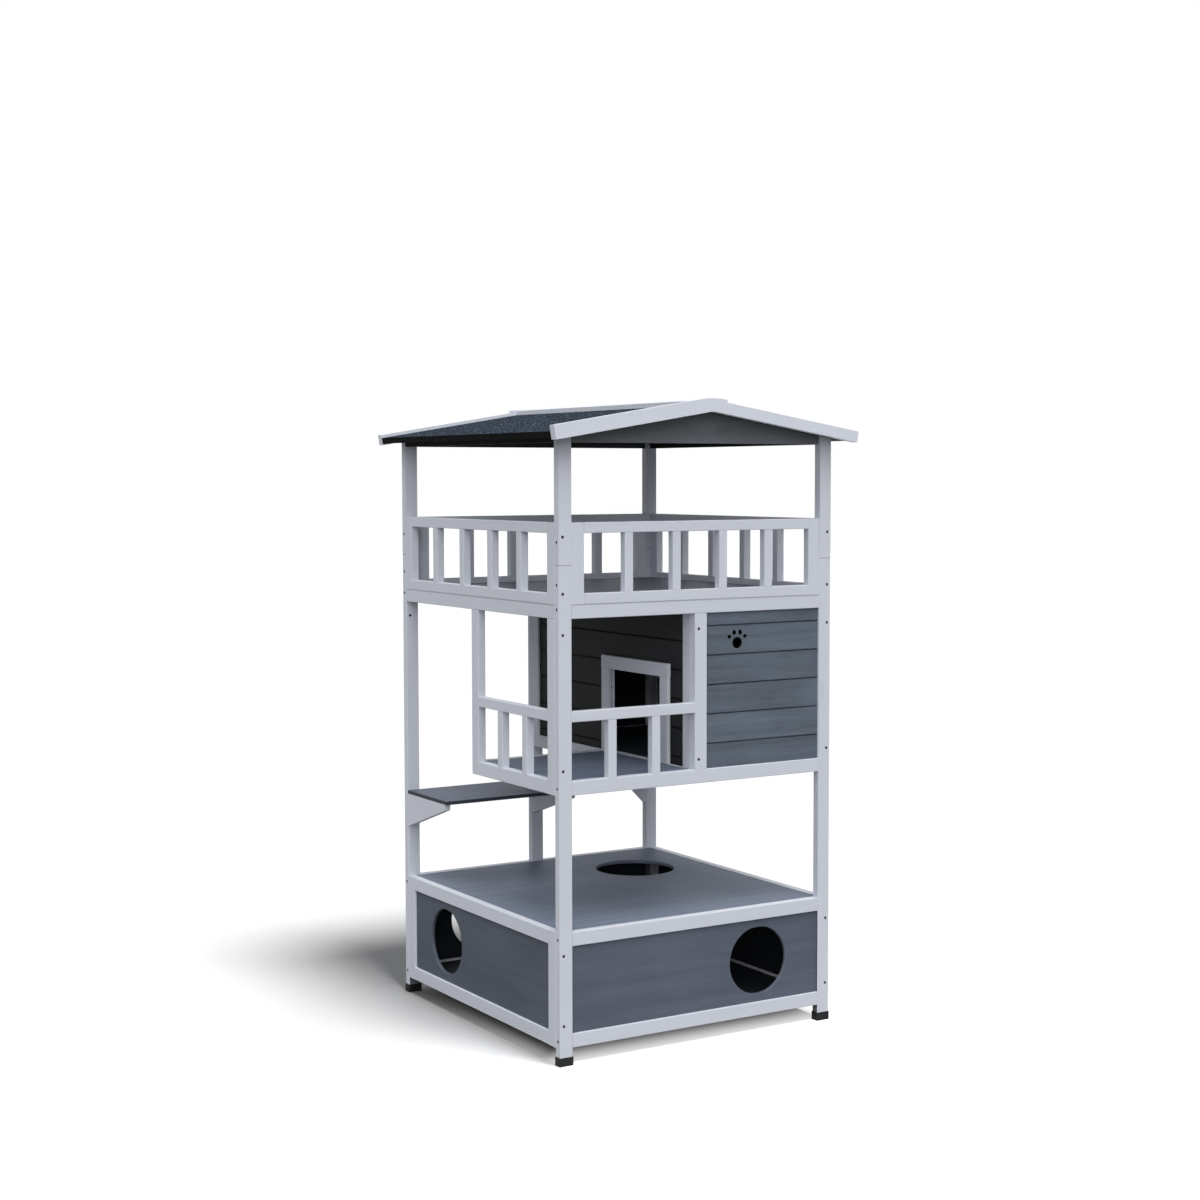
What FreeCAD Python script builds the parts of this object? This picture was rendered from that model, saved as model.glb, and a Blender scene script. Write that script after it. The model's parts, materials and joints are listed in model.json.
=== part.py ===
import FreeCAD
import Part
import Sketcher
import math
import os
import re

# Outdoor cat house on three levels, in millimetres.
# The origin is on the floor, midway between the four corner posts.
# +X points to the right of the front, +Y to the back, +Z up.

doc = FreeCAD.newDocument("CatHouse")
sheet = doc.addObject("Spreadsheet::Sheet", "Dims")

# Driving sizes, each written once.
sizes = {
    # Overall size over the corner posts.
    "house_width": 760,
    "house_depth": 790,
    # Timber sections.
    "post_wide": 33,
    "stock_thick": 20,
    "stile_wide": 33,
    "rail_wide": 32,
    "slim_rail": 24,
    "baluster_wide": 22,
    "batten_size": 18,
    "arris": 1,
    # Sheet material.
    "panel_thick": 9,
    "panel_recess": 6,
    "deck_drop": 1,
    # Feet.
    "foot_height": 20,
    "foot_wall": 2,
    "foot_sole": 3,
    "foot_clearance": 0.2,
    # Levels above the ground.
    "base_clear": 40,
    "base_floor_top": 66,
    "base_height": 304,
    "middle_height": 646,
    "handrail_top": 803,
    "apron_top": 1043,
    "railing_top": 1226,
    "right_bars_back": 15,
    "post_joint": 1132,
    # Round cat holes.
    "cat_hole": 162,
    "front_hole_side": 208,
    "side_hole_back": 220,
    "deck_hole": 204,
    "deck_hole_side": 208,
    "deck_hole_back": 236,
    # Room, doorway and balcony.
    "partition_shift": 2.5,
    "balcony_depth": 416,
    "door_wide": 232,
    "door_tall": 206,
    "door_from_front": 262,
    "casing_wide": 33,
    "casing_thick": 10,
    # Tongued and grooved wall planks.
    "plank_cover": 69,
    "plank_gap": 0.4,
    "plank_bevel": 2,
    "tongue_long": 4,
    "tongue_thick": 3,
    "tongue_clearance": 0.3,
    "front_rip": 31,
    # Paw-shaped vent.
    "paw_from_side": 271,
    "paw_level": 937,
    "paw_pad": 22,
    "paw_toe": 9,
    # Jump shelf and knee brace.
    "shelf_top": 526,
    "shelf_deep": 216,
    "bracket_deep": 206,
    "bracket_tall": 84,
    "bracket_nose": 15,
    "bracket_thick": 16,
    "bracket_set": 6,
    "brace_reach": 185,
    # Roof.
    "roof_pitch": 9.2,
    "gable_low": 1404,
    "eave_tall": 14.5,
    "eave_overhang": 42,
    "gable_overhang": 54,
    "roof_board": 12,
    "felt_thick": 2.5,
    "barge_thick": 20,
    "barge_wide": 32,
    "barge_narrow": 6,
    "barge_lip": 4,
    "barge_lap": 38,
    "ridge_flat": 3,
    "cap_reach": 28,
    "cap_thick": 11,
    # Screws.
    "screw_head": 7,
    "screw_head_thick": 3,
    "screw_shank": 4,
    "screw_bite": 16,
    "screw_inset": 20,
    "screw_clearance": 0.2,
}

# Sizes worked out from the driving ones.
derived = {
    "half_width": "house_width / 2",
    "half_depth": "house_depth / 2",
    "post_inside": "half_width - post_wide",
    "frame_inside": "half_width - stock_thick",
    "end_inside": "half_depth - stock_thick",
    "side_length": "house_depth - 2 * stock_thick",
    "end_length": "house_width - 2 * post_wide",
    "stile_inside": "end_inside - stile_wide",
    "apron_low": "apron_top - rail_wide",
    "middle_low": "middle_height - rail_wide",
    "panel_low": "base_clear + rail_wide",
    "panel_tall": "base_height - 2 * rail_wide - base_clear",
    "wall_tall": "apron_low - middle_height",
    "partition_left": "partition_shift - post_wide / 2",
    "partition_right": "partition_left + post_wide",
    "door_wall_back": "partition_left + stock_thick",
    "balcony_back": "balcony_depth - half_depth",
    "railing_tall": "railing_top - apron_top",
    "roof_slope": "tan(roof_pitch)",
    "roof_stretch": "1 / cos(roof_pitch)",
    "roof_sine": "sin(roof_pitch)",
    "roof_cosine": "cos(roof_pitch)",
    "eave_reach": "half_width + eave_overhang",
    "ridge_under": "gable_low + eave_tall + roof_slope * half_width",
    "ridge_low": "ridge_under - barge_lip * roof_stretch",
    "roof_end": "half_depth + gable_overhang",
    "roof_length": "2 * (roof_end - barge_thick)",
}


def fill_sheet():
    """Write the driving sizes as plain numbers and the worked-out ones as formulas."""
    row = 1
    for table, lead in ((sizes, ""), (derived, "=")):
        for alias, value in table.items():
            cell = "B%d" % row
            sheet.set("A%d" % row, alias.replace("_", " "))
            sheet.set(cell, lead + str(value))
            sheet.setAlias(cell, alias)
            row += 1
    doc.recompute()


def cells(formula):
    """Point the names in a formula at the cells of the sheet."""
    known = set(sizes) | set(derived)

    def swap(match):
        word = match.group(0)
        return "Dims." + word if word in known else word

    return re.sub(r"[a-z_]+", swap, str(formula))


def bind(obj, **formulas):
    """Bind properties of an object to formulas."""
    for name, formula in formulas.items():
        obj.setExpression(name, cells(formula))


def place(obj, x, y, z):
    """Bind an object's position to three formulas."""
    for axis, formula in zip("xyz", (x, y, z)):
        obj.setExpression("Placement.Base." + axis, cells(formula))


def turn(obj, degrees, axis=(0, 0, 1)):
    """Turn an object about an axis before its position is bound."""
    rotation = FreeCAD.Rotation(FreeCAD.Vector(*axis), degrees)
    obj.Placement = FreeCAD.Placement(FreeCAD.Vector(), rotation)


AXES = {"x": FreeCAD.Vector(1, 0, 0), "y": FreeCAD.Vector(0, 1, 0), "z": FreeCAD.Vector(0, 0, 1)}


def long_edges(axis):
    """Names of the four edges of a box that run along an axis."""
    names = []
    for number, edge in enumerate(Part.makeBox(1, 1, 1).Edges, 1):
        if abs(edge.tangentAt(edge.FirstParameter).dot(AXES[axis])) > 0.9:
            names.append("Edge%d" % number)
    return names


LONG_EDGES = {axis: long_edges(axis) for axis in AXES}
nodes = []


def keep(obj, label):
    """Give a finished sub-part its label and list it for export."""
    obj.Label = label
    nodes.append(obj)
    return obj


def box(name, x, y, z, dx, dy, dz):
    """A plain block."""
    block = doc.addObject("Part::Box", name)
    bind(block, Length=dx, Width=dy, Height=dz)
    place(block, x, y, z)
    return block


TURNS = {"x": (90, (0, 1, 0)), "y": (-90, (1, 0, 0))}


def rod(name, x, y, z, radius, length, axis, sides=0):
    """A cylinder, or a prism with that many sides, from a point along an axis."""
    if sides:
        piece = doc.addObject("Part::Prism", name)
        piece.Polygon = sides
        bind(piece, Circumradius=radius, Height=length)
    else:
        piece = doc.addObject("Part::Cylinder", name)
        bind(piece, Radius=radius, Height=length)
    if axis in TURNS:
        turn(piece, *TURNS[axis])
    place(piece, x, y, z)
    return piece


def board(name, x, y, z, dx, dy, dz, along):
    """A planed timber board with eased long edges."""
    body = doc.addObject("PartDesign::Body", name)
    block = body.newObject("PartDesign::AdditiveBox", name + "_block")
    bind(block, Length=dx, Width=dy, Height=dz)
    doc.recompute()
    ease = body.newObject("PartDesign::Chamfer", name + "_arris")
    ease.Base = (block, LONG_EDGES[along])
    bind(ease, Size="arris")
    body.Tip = ease
    place(body, x, y, z)
    return body


# Radius of the polygon that a sketch starts from before its corners are pulled into place.
START_RADIUS = 100


def outline(name, plane, corners, depth, left, front, low):
    """A body padded from a closed outline whose corners are formulas in the plane."""
    body = doc.addObject("PartDesign::Body", name)
    sketch = body.newObject("Sketcher::SketchObject", name + "_outline")
    support = [item for item in body.Origin.OriginFeatures if item.Role == plane][0]
    sketch.AttachmentSupport = (support, [""])
    sketch.MapMode = "FlatFace"
    count = len(corners)
    start = []
    for number in range(count):
        angle = 2 * math.pi * number / count
        x = START_RADIUS * (2 + math.cos(angle))
        y = START_RADIUS * (2 + math.sin(angle))
        start.append(FreeCAD.Vector(x, y, 0))
    for number in range(count):
        sketch.addGeometry(Part.LineSegment(start[number], start[(number + 1) % count]))
    for number in range(count):
        sketch.addConstraint(Sketcher.Constraint("Coincident", number, 2, (number + 1) % count, 1))
    for number, corner in enumerate(corners):
        for kind, now, formula in zip(("DistanceX", "DistanceY"), start[number], corner):
            index = sketch.addConstraint(Sketcher.Constraint(kind, -1, 1, number, 1, now))
            sketch.setExpression("Constraints[%d]" % index, cells(formula))
    pad = body.newObject("PartDesign::Pad", name + "_pad")
    pad.Profile = sketch
    pad.Reversed = plane == "XZ_Plane"
    bind(pad, Length=depth)
    body.Tip = pad
    place(body, left, front, low)
    return body


def group(label, members):
    """Separate solids of one kind, kept together under one label."""
    compound = doc.addObject("Part::Compound", label)
    compound.Links = members
    return keep(compound, label)


def cut(name, base, tools):
    """A piece with one or more tools cut out of it."""
    result = doc.addObject("Part::Cut", name)
    result.Base = base
    if len(tools) > 1:
        joined = doc.addObject("Part::MultiFuse", name + "_tools")
        joined.Shapes = tools
        result.Tool = joined
    else:
        result.Tool = tools[0]
    return result


def round_hole(name, x, y, z, diameter, axis):
    """The cutter for a round hole through a panel."""
    return rod(name, x, y, z, diameter + " / 2", "panel_thick", axis)


# The four corners: name, side (-1 left, 1 right) and end (-1 front, 1 back).
CORNERS = (
    ("front_left", -1, -1),
    ("front_right", 1, -1),
    ("back_left", -1, 1),
    ("back_right", 1, 1),
)


def post_x(side):
    """Left edge of a corner post."""
    return "-half_width" if side < 0 else "post_inside"


def post_y(end):
    """Front face of a corner post."""
    return "-half_depth" if end < 0 else "end_inside"


def outer_x(side, inset="0"):
    """A distance in from the left or right face of the house."""
    return "%s - half_width" % inset if side < 0 else "half_width - %s" % inset


def outer_y(end, inset="0"):
    """A distance in from the front or back face of the house."""
    return "%s - half_depth" % inset if end < 0 else "half_depth - %s" % inset


# Heights of the screws: those through the front and back faces of the posts hold the side
# frames, those through their left and right faces hold the front and back frames.
END_LEVELS = {
    "base_low": "panel_low + screw_inset",
    "base_high": "base_height - rail_wide - screw_inset",
    "middle_low": "middle_height + slim_rail",
    "middle_high": "apron_low - 1.5 * slim_rail",
    "upper_low": "apron_top + slim_rail",
    "upper_high": "railing_top - rail_wide",
}
SIDE_LEVELS = {
    "base_low": "base_clear + rail_wide / 2",
    "base_high": "base_height - rail_wide / 2",
    "middle": "middle_height - rail_wide / 2",
    "apron": "apron_top - rail_wide / 3",
    "upper_low": "apron_top + slim_rail + screw_inset",
    "upper_high": "railing_top - slim_rail - screw_inset",
}
# No frame meets the back left post at the middle level.
NO_SCREW = (("end", "middle_low"), ("end", "middle_high"), ("side", "middle"))
HEAD_SIDES = 8
SHANK_SIDES = 6


def screw_spots():
    """Each screw's head position, axis, way and the thickness it passes before it bites."""
    spots = {}
    mid_frame = "stock_thick / 2"
    for corner, side, end in CORNERS:
        for level, z in END_LEVELS.items():
            x = outer_x(side, mid_frame)
            spots[corner, "end", level] = (x, outer_y(end), z, "y", -end, "stock_thick")
        for level, z in SIDE_LEVELS.items():
            y = outer_y(end, mid_frame)
            spots[corner, "side", level] = (outer_x(side), y, z, "x", -side, "post_wide")
    for kind, level in NO_SCREW:
        del spots["back_left", kind, level]
    for middle, end in (("front_mid", -1), ("back_mid", 1)):
        for level in ("middle_low", "middle_high"):
            x = "partition_left + " + mid_frame
            spots[middle, "end", level] = (x, outer_y(end), END_LEVELS[level], "y", -end, "stock_thick")
    x = outer_x(-1, mid_frame)
    z = END_LEVELS["middle_high"]
    spots["back_left", "inner", "middle_high"] = (x, "end_inside", z, "y", 1, "0")
    return spots


def screw(name, spot, grow="0"):
    """A screw with its head flush in the post and its shank in the frame, or the bore for it."""
    x, y, z, axis, way, through = spot
    parts = []
    spans = (
        ("head", HEAD_SIDES, "screw_head / 2", "screw_head_thick"),
        ("shank", SHANK_SIDES, "screw_shank / 2", "%s + screw_bite + %s" % (through, grow)),
    )
    for part, sides, radius, length in spans:
        start = {"x": x, "y": y, "z": z}
        if way < 0:
            start[axis] = "%s - (%s)" % (start[axis], length)
        size = "%s + %s" % (radius, grow)
        parts.append(rod("%s_%s" % (name, part), *start.values(), size, length, axis, sides))
    joined = doc.addObject("Part::Fuse", name)
    joined.Base, joined.Tool = parts
    return joined


bores = {}


def make_bores():
    """The bores for all screws, each a screw grown by the clearance."""
    for key, spot in screw_spots().items():
        bores[key] = screw("bore_" + "_".join(key), spot, "screw_clearance")


def bored(timber, *keys):
    """A timber with the bores of some screws cut in it."""
    return cut(timber.Name + "_bored", timber, [bores[key] for key in keys])


def end_keys(post, *levels):
    """Keys of the screws through the front or back face of a post."""
    return [(post, "end", level) for level in levels]


def side_keys(post, *levels):
    """Keys of the screws through the left or right face of a post."""
    return [(post, "side", level) for level in levels]


def posts():
    """Lower and upper corner posts, bored for their screws, and their foot caps."""
    for corner, side, end in CORNERS:
        keys = [key for key in bores if key[0] == corner]
        lower = board(
            "lower_timber_" + corner, post_x(side), post_y(end), "foot_sole",
            "post_wide", "stock_thick", "post_joint - foot_sole", "z",
        )
        keep(bored(lower, *[key for key in keys if key[2] != "upper_high"]), "lower_post_" + corner)
        outside = "ridge_under - roof_slope * half_width - post_joint"
        inside = "ridge_under - roof_slope * post_inside - post_joint"
        left, right = (outside, inside) if side < 0 else (inside, outside)
        upper = outline(
            "upper_timber_" + corner, "XZ_Plane",
            (("0", "0"), ("post_wide", "0"), ("post_wide", right), ("0", left)),
            "stock_thick", post_x(side), post_y(end), "post_joint",
        )
        keep(bored(upper, *[key for key in keys if key[2] == "upper_high"]), "upper_post_" + corner)
    caps = []
    for corner, side, end in CORNERS:
        shell = box(
            "foot_shell_" + corner, post_x(side) + " - foot_wall", post_y(end) + " - foot_wall", "0",
            "post_wide + 2 * foot_wall", "stock_thick + 2 * foot_wall", "foot_height",
        )
        socket = box(
            "foot_socket_" + corner, post_x(side) + " - foot_clearance",
            post_y(end) + " - foot_clearance", "foot_sole",
            "post_wide + 2 * foot_clearance", "stock_thick + 2 * foot_clearance", "foot_height",
        )
        caps.append(cut("foot_cap_" + corner, shell, [socket]))
    group("foot_caps", caps)


def base_box():
    """The closed box at the bottom: rails, stiles, holed panels, floor and deck."""
    levels = (("low", "base_clear"), ("high", "base_height - rail_wide"))
    end_rails = []
    side_rails = []
    stiles = []
    for end_name, y in (("front", "-half_depth"), ("back", "end_inside")):
        for level, z in levels:
            rail = board(
                "base_%s_rail_%s" % (end_name, level), "-post_inside", y, z,
                "end_length", "stock_thick", "rail_wide", "x",
            )
            keys = side_keys(end_name + "_left", "base_" + level)
            keys += side_keys(end_name + "_right", "base_" + level)
            end_rails.append(bored(rail, *keys))
    for side_name, x in (("left", "-half_width"), ("right", "frame_inside")):
        for level, z in levels:
            side_rails.append(board(
                "base_%s_rail_%s" % (side_name, level), x, "-stile_inside", z,
                "stock_thick", "2 * stile_inside", "rail_wide", "y",
            ))
        for end_name, y in (("front", "-end_inside"), ("back", "stile_inside")):
            stile = board(
                "base_%s_stile_%s" % (side_name, end_name), x, y, "base_clear",
                "stock_thick", "stile_wide", "base_height - base_clear", "z",
            )
            keys = end_keys("%s_%s" % (end_name, side_name), "base_low", "base_high")
            stiles.append(bored(stile, *keys))
    group("base_end_rails", end_rails)
    group("base_side_rails", side_rails)
    group("base_side_stiles", stiles)

    hole_level = "panel_low + panel_tall / 2"
    end_panels = (
        ("base_front_panel", "-half_depth + panel_recess", "half_width - front_hole_side"),
        ("base_back_panel", "half_depth - panel_recess - panel_thick", "front_hole_side - half_width"),
    )
    for label, y, hole_x in end_panels:
        sheet_panel = box(
            label + "_sheet", "-post_inside", y, "panel_low", "end_length", "panel_thick", "panel_tall",
        )
        hole = round_hole(label + "_hole", hole_x, y, hole_level, "cat_hole", "y")
        keep(cut(label, sheet_panel, [hole]), label)
    left_x = "-half_width + panel_recess"
    left_sheet = box(
        "base_left_sheet", left_x, "-stile_inside", "panel_low",
        "panel_thick", "2 * stile_inside", "panel_tall",
    )
    left_hole = round_hole(
        "base_left_hole", left_x, "half_depth - side_hole_back", hole_level, "cat_hole", "x",
    )
    keep(cut("base_left_panel", left_sheet, [left_hole]), "base_left_panel")
    keep(box(
        "base_right_panel", "half_width - panel_recess - panel_thick", "-stile_inside", "panel_low",
        "panel_thick", "2 * stile_inside", "panel_tall",
    ), "base_right_panel")
    keep(box(
        "base_floor", "-frame_inside", "-end_inside", "base_floor_top - panel_thick",
        "2 * frame_inside", "side_length", "panel_thick",
    ), "base_floor")
    deck_z = "base_height - deck_drop - panel_thick"
    deck_sheet = box(
        "base_deck_sheet", "-frame_inside", "-end_inside", deck_z,
        "2 * frame_inside", "side_length", "panel_thick",
    )
    way_down = round_hole(
        "base_deck_hole", "half_width - deck_hole_side", "half_depth - deck_hole_back", deck_z,
        "deck_hole", "z",
    )
    keep(cut("base_deck", deck_sheet, [way_down]), "base_deck")


def middle_frame():
    """Rails, stiles and posts that carry the balcony and the room."""
    across = ("stock_thick", "rail_wide", "x")
    front_rail = board("front_rail", "-post_inside", "-half_depth", "middle_low", "end_length", *across)
    front_keys = side_keys("front_left", "middle") + side_keys("front_right", "middle")
    keep(bored(front_rail, *front_keys), "middle_front_rail")
    back_rail = board("back_rail", "partition_right", "end_inside", "middle_low",
                      "post_inside - partition_right", *across)
    keep(bored(back_rail, *side_keys("back_right", "middle")), "middle_back_rail")
    keep(board("balcony_back_rail", "-frame_inside", "balcony_back - stock_thick", "middle_low",
               "frame_inside + partition_left", *across), "balcony_back_rail")
    keep(board("middle_left_rail", "-half_width", "-stile_inside", "middle_low", "stock_thick",
               "balcony_back - stile_wide + stile_inside", "rail_wide", "y"), "middle_left_rail")
    keep(board("middle_right_rail", "frame_inside", "-stile_inside", "middle_low", "stock_thick",
               "2 * stile_inside", "rail_wide", "y"), "middle_right_rail")
    upright = ("stock_thick", "stile_wide", "apron_low - middle_low", "z")
    keep(board("balcony_side_post", "-half_width", "balcony_back - stile_wide", "middle_low", *upright),
         "balcony_side_post")
    stiles = []
    for corner, x, y in (
        ("front_left", "-half_width", "-end_inside"),
        ("front_right", "frame_inside", "-end_inside"),
        ("back_right", "frame_inside", "stile_inside"),
    ):
        stile = board("middle_stile_" + corner, x, y, "middle_low", *upright)
        stiles.append(bored(stile, *end_keys(corner, "middle_low", "middle_high")))
    group("middle_side_stiles", stiles)
    for end_name, y, foot in (
        ("front", "-half_depth", "middle_height"),
        ("back", "end_inside", "base_height"),
    ):
        post = board(end_name + "_mid_timber", "partition_left", y, foot,
                     "post_wide", "stock_thick", "apron_low - " + foot, "z")
        keep(bored(post, *end_keys(end_name + "_mid", "middle_low", "middle_high")), end_name + "_mid_post")
    aprons = []
    for end_name, y in (("front", "-half_depth"), ("back", "end_inside")):
        apron = board(end_name + "_apron", "-post_inside", y, "apron_low",
                      "end_length", "stock_thick", "rail_wide", "x")
        keys = side_keys(end_name + "_left", "apron") + side_keys(end_name + "_right", "apron")
        aprons.append(bored(apron, *keys))
    group("end_aprons", aprons)
    side_apron = ("stock_thick", "side_length", "rail_wide", "y")
    group("side_aprons", [
        board("left_apron", "-half_width", "-end_inside", "apron_low", *side_apron),
        board("right_apron", "frame_inside", "-end_inside", "apron_low", *side_apron),
    ])


def plank(name, length):
    """A tongued and grooved plank with bevelled face edges, its length along X and its face to -Y."""
    body_tall = "(plank_cover - plank_gap)"
    groove_near = "(panel_thick - tongue_thick) / 2 - tongue_clearance"
    groove_far = "(panel_thick + tongue_thick) / 2 + tongue_clearance"
    tongue_near = "(panel_thick - tongue_thick) / 2"
    tongue_far = "(panel_thick + tongue_thick) / 2"
    groove_deep = "tongue_long + tongue_clearance"
    tongue_top = body_tall + " + tongue_long"
    corners = (
        ("0", "plank_bevel"),
        ("plank_bevel", "0"),
        (groove_near, "0"),
        (groove_near, groove_deep),
        (groove_far, groove_deep),
        (groove_far, "0"),
        ("panel_thick", "0"),
        ("panel_thick", body_tall),
        (tongue_far, body_tall),
        (tongue_far, tongue_top),
        (tongue_near, tongue_top),
        (tongue_near, body_tall),
        ("plank_bevel", body_tall),
        ("0", body_tall + " - plank_bevel"),
    )
    return outline(name, "YZ_Plane", corners, length, "0", "0", "0")


def plank_wall(name, length, rip, degrees, x, y):
    """Planks from the apron down, trimmed to the wall's height; rip is the top plank's face height."""
    tall = sizes["apron_top"] - sizes["rail_wide"] - sizes["middle_height"]
    count = math.ceil((tall - sizes.get(rip, sizes["plank_cover"])) / sizes["plank_cover"]) + 1
    planks = []
    for number in range(count):
        piece = plank("%s_plank_%d" % (name, number), length)
        turn(piece, degrees)
        top = "apron_low - %s - %d * plank_cover" % (rip, number)
        place(piece, x, y, top)
        planks.append(piece)
    stack = doc.addObject("Part::Compound", name + "_stack")
    stack.Links = planks
    return stack


def wall_space(name, x, y, dx, dy):
    """The space that a wall's planks are trimmed to."""
    return box(name, x, y, "middle_height", dx, dy, "wall_tall")


def trimmed(name, stack, space):
    """Planks cut to the space between the rails."""
    result = doc.addObject("Part::Common", name)
    result.Base = stack
    result.Tool = space
    return result


def paw_tools():
    """The paw-shaped vent: one pad with three lobes, and four toes."""
    centre_x = "half_width - paw_from_side"
    face_y = "-half_depth + panel_recess"
    # Places and radii as shares of the pad's width: across, up and, for a lobe, its radius.
    lobes = (("left", "-0.34", "-0.2", "0.3"), ("right", "0.34", "-0.2", "0.3"), ("top", "0", "0.14", "0.46"))
    toes = (("a", "-0.98", "0.66"), ("b", "-0.37", "1.04"), ("c", "0.37", "1.04"), ("d", "0.98", "0.66"))
    tools = []
    for name, across, up, size in lobes:
        tools.append(rod(
            "paw_lobe_" + name, "%s + %s * paw_pad" % (centre_x, across), face_y,
            "paw_level + %s * paw_pad" % up, "%s * paw_pad" % size, "panel_thick", "y",
        ))
    for name, across, up in toes:
        tools.append(rod(
            "paw_toe_" + name, "%s + %s * paw_pad" % (centre_x, across), face_y,
            "paw_level + %s * paw_pad" % up, "paw_toe / 2", "panel_thick", "y",
        ))
    return tools


def room():
    """Plank walls, the door wall with its casing, and the two middle floors."""
    span = "post_inside - partition_right"
    front_y = "-half_depth + panel_recess"
    front = plank_wall("room_front", span, "front_rip", 0, "partition_right", front_y)
    front_cut = trimmed("room_front_trim", front, wall_space(
        "room_front_space", "partition_right", "-half_depth", span, "stock_thick"))
    keep(cut("room_front_planks", front_cut, paw_tools()), "room_front_planks")
    back = plank_wall("room_back", span, "plank_cover", 180, "post_inside", "half_depth - panel_recess")
    keep(trimmed("room_back_planks", back, wall_space(
        "room_back_space", "partition_right", "end_inside", span, "stock_thick")), "room_back_planks")
    side_span = "2 * stile_inside"
    right_x = "half_width - panel_recess"
    right = plank_wall("room_right", side_span, "plank_cover", 90, right_x, "-stile_inside")
    keep(trimmed("room_right_planks", right, wall_space(
        "room_right_space", "frame_inside", "-stile_inside", "stock_thick", side_span)), "room_right_planks")

    face_x = "partition_left + panel_recess"
    door_y = "door_from_front - door_wide / 2 - half_depth"
    door = plank_wall("door_wall", side_span, "plank_cover", -90, face_x, "stile_inside")
    door_trim = trimmed("door_wall_trim", door, wall_space(
        "door_wall_space", "partition_left", "-stile_inside", "stock_thick", side_span))
    doorway = box("doorway", "partition_left", door_y, "middle_height",
                  "stock_thick", "door_wide", "door_tall")
    keep(cut("door_wall_planks", door_trim, [doorway]), "door_wall_planks")
    stiles = []
    for end_name, y in (("front", "-end_inside"), ("back", "stile_inside")):
        stile = board("door_wall_%s_stile" % end_name, "partition_left", y, "middle_low",
                      "stock_thick", "stile_wide", "apron_low - middle_low", "z")
        stiles.append(bored(stile, *end_keys(end_name + "_mid", "middle_low", "middle_high")))
    group("door_wall_stiles", stiles)
    group("door_wall_rails", [
        board("door_wall_low_rail", "partition_left", "-stile_inside", "middle_low",
              "stock_thick", side_span, "rail_wide", "y"),
        board("door_wall_top_rail", "partition_left", "-end_inside", "apron_low",
              "stock_thick", "side_length", "rail_wide", "y"),
    ])
    casing_x = face_x + " - casing_thick"
    group("door_casing", [
        board("door_casing_near_leg", casing_x, door_y + " - casing_wide", "middle_height",
              "casing_thick", "casing_wide", "door_tall", "z"),
        board("door_casing_far_leg", casing_x, door_y + " + door_wide", "middle_height",
              "casing_thick", "casing_wide", "door_tall", "z"),
        board("door_casing_head", casing_x, door_y + " - casing_wide", "middle_height + door_tall",
              "casing_thick", "door_wide + 2 * casing_wide", "casing_wide", "y"),
    ])
    floor_z = "middle_height - deck_drop - panel_thick"
    keep(box("room_floor", "door_wall_back", "-end_inside", floor_z,
             "frame_inside - door_wall_back", "side_length", "panel_thick"), "room_floor")
    keep(box("balcony_floor", "-frame_inside", "-end_inside", floor_z,
             "frame_inside + partition_left", "balcony_depth - 2 * stock_thick", "panel_thick"),
         "balcony_floor")


def balusters(name, count, low, high, along, x, y, start, end):
    """Upright bars set at even gaps between two ends of a railing."""
    bars = []
    tall = "%s - (%s)" % (high, low)
    gap = "(%s - (%s) - %d * baluster_wide) / %d" % (end, start, count, count + 1)
    for number in range(count):
        shift = "%s + %d * %s + %d * baluster_wide" % (start, number + 1, gap, number)
        where = (shift, y) if along == "x" else (x, shift)
        size = ("baluster_wide", "stock_thick") if along == "x" else ("stock_thick", "baluster_wide")
        bars.append(board("%s_baluster_%d" % (name, number), *where, low, *size, tall, "z"))
    return bars


def balcony_railing():
    """Handrails and balusters on the open sides of the balcony."""
    low = "handrail_top - slim_rail"
    keep(board("balcony_front_handrail", "-post_inside", "-half_depth", low,
               "post_inside + partition_left", "stock_thick", "slim_rail", "x"), "balcony_front_handrail")
    keep(board("balcony_left_handrail", "-half_width", "-stile_inside", low, "stock_thick",
               "balcony_back - stile_wide + stile_inside", "slim_rail", "y"), "balcony_left_handrail")
    bars = balusters("balcony_front", 2, "middle_height", low, "x", "0", "-half_depth",
                     "-post_inside", "partition_left")
    bars += balusters("balcony_left", 2, "middle_height", low, "y", "-half_width", "0",
                      "-stile_inside", "(balcony_back - stile_wide)")
    group("balcony_balusters", bars)


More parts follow.
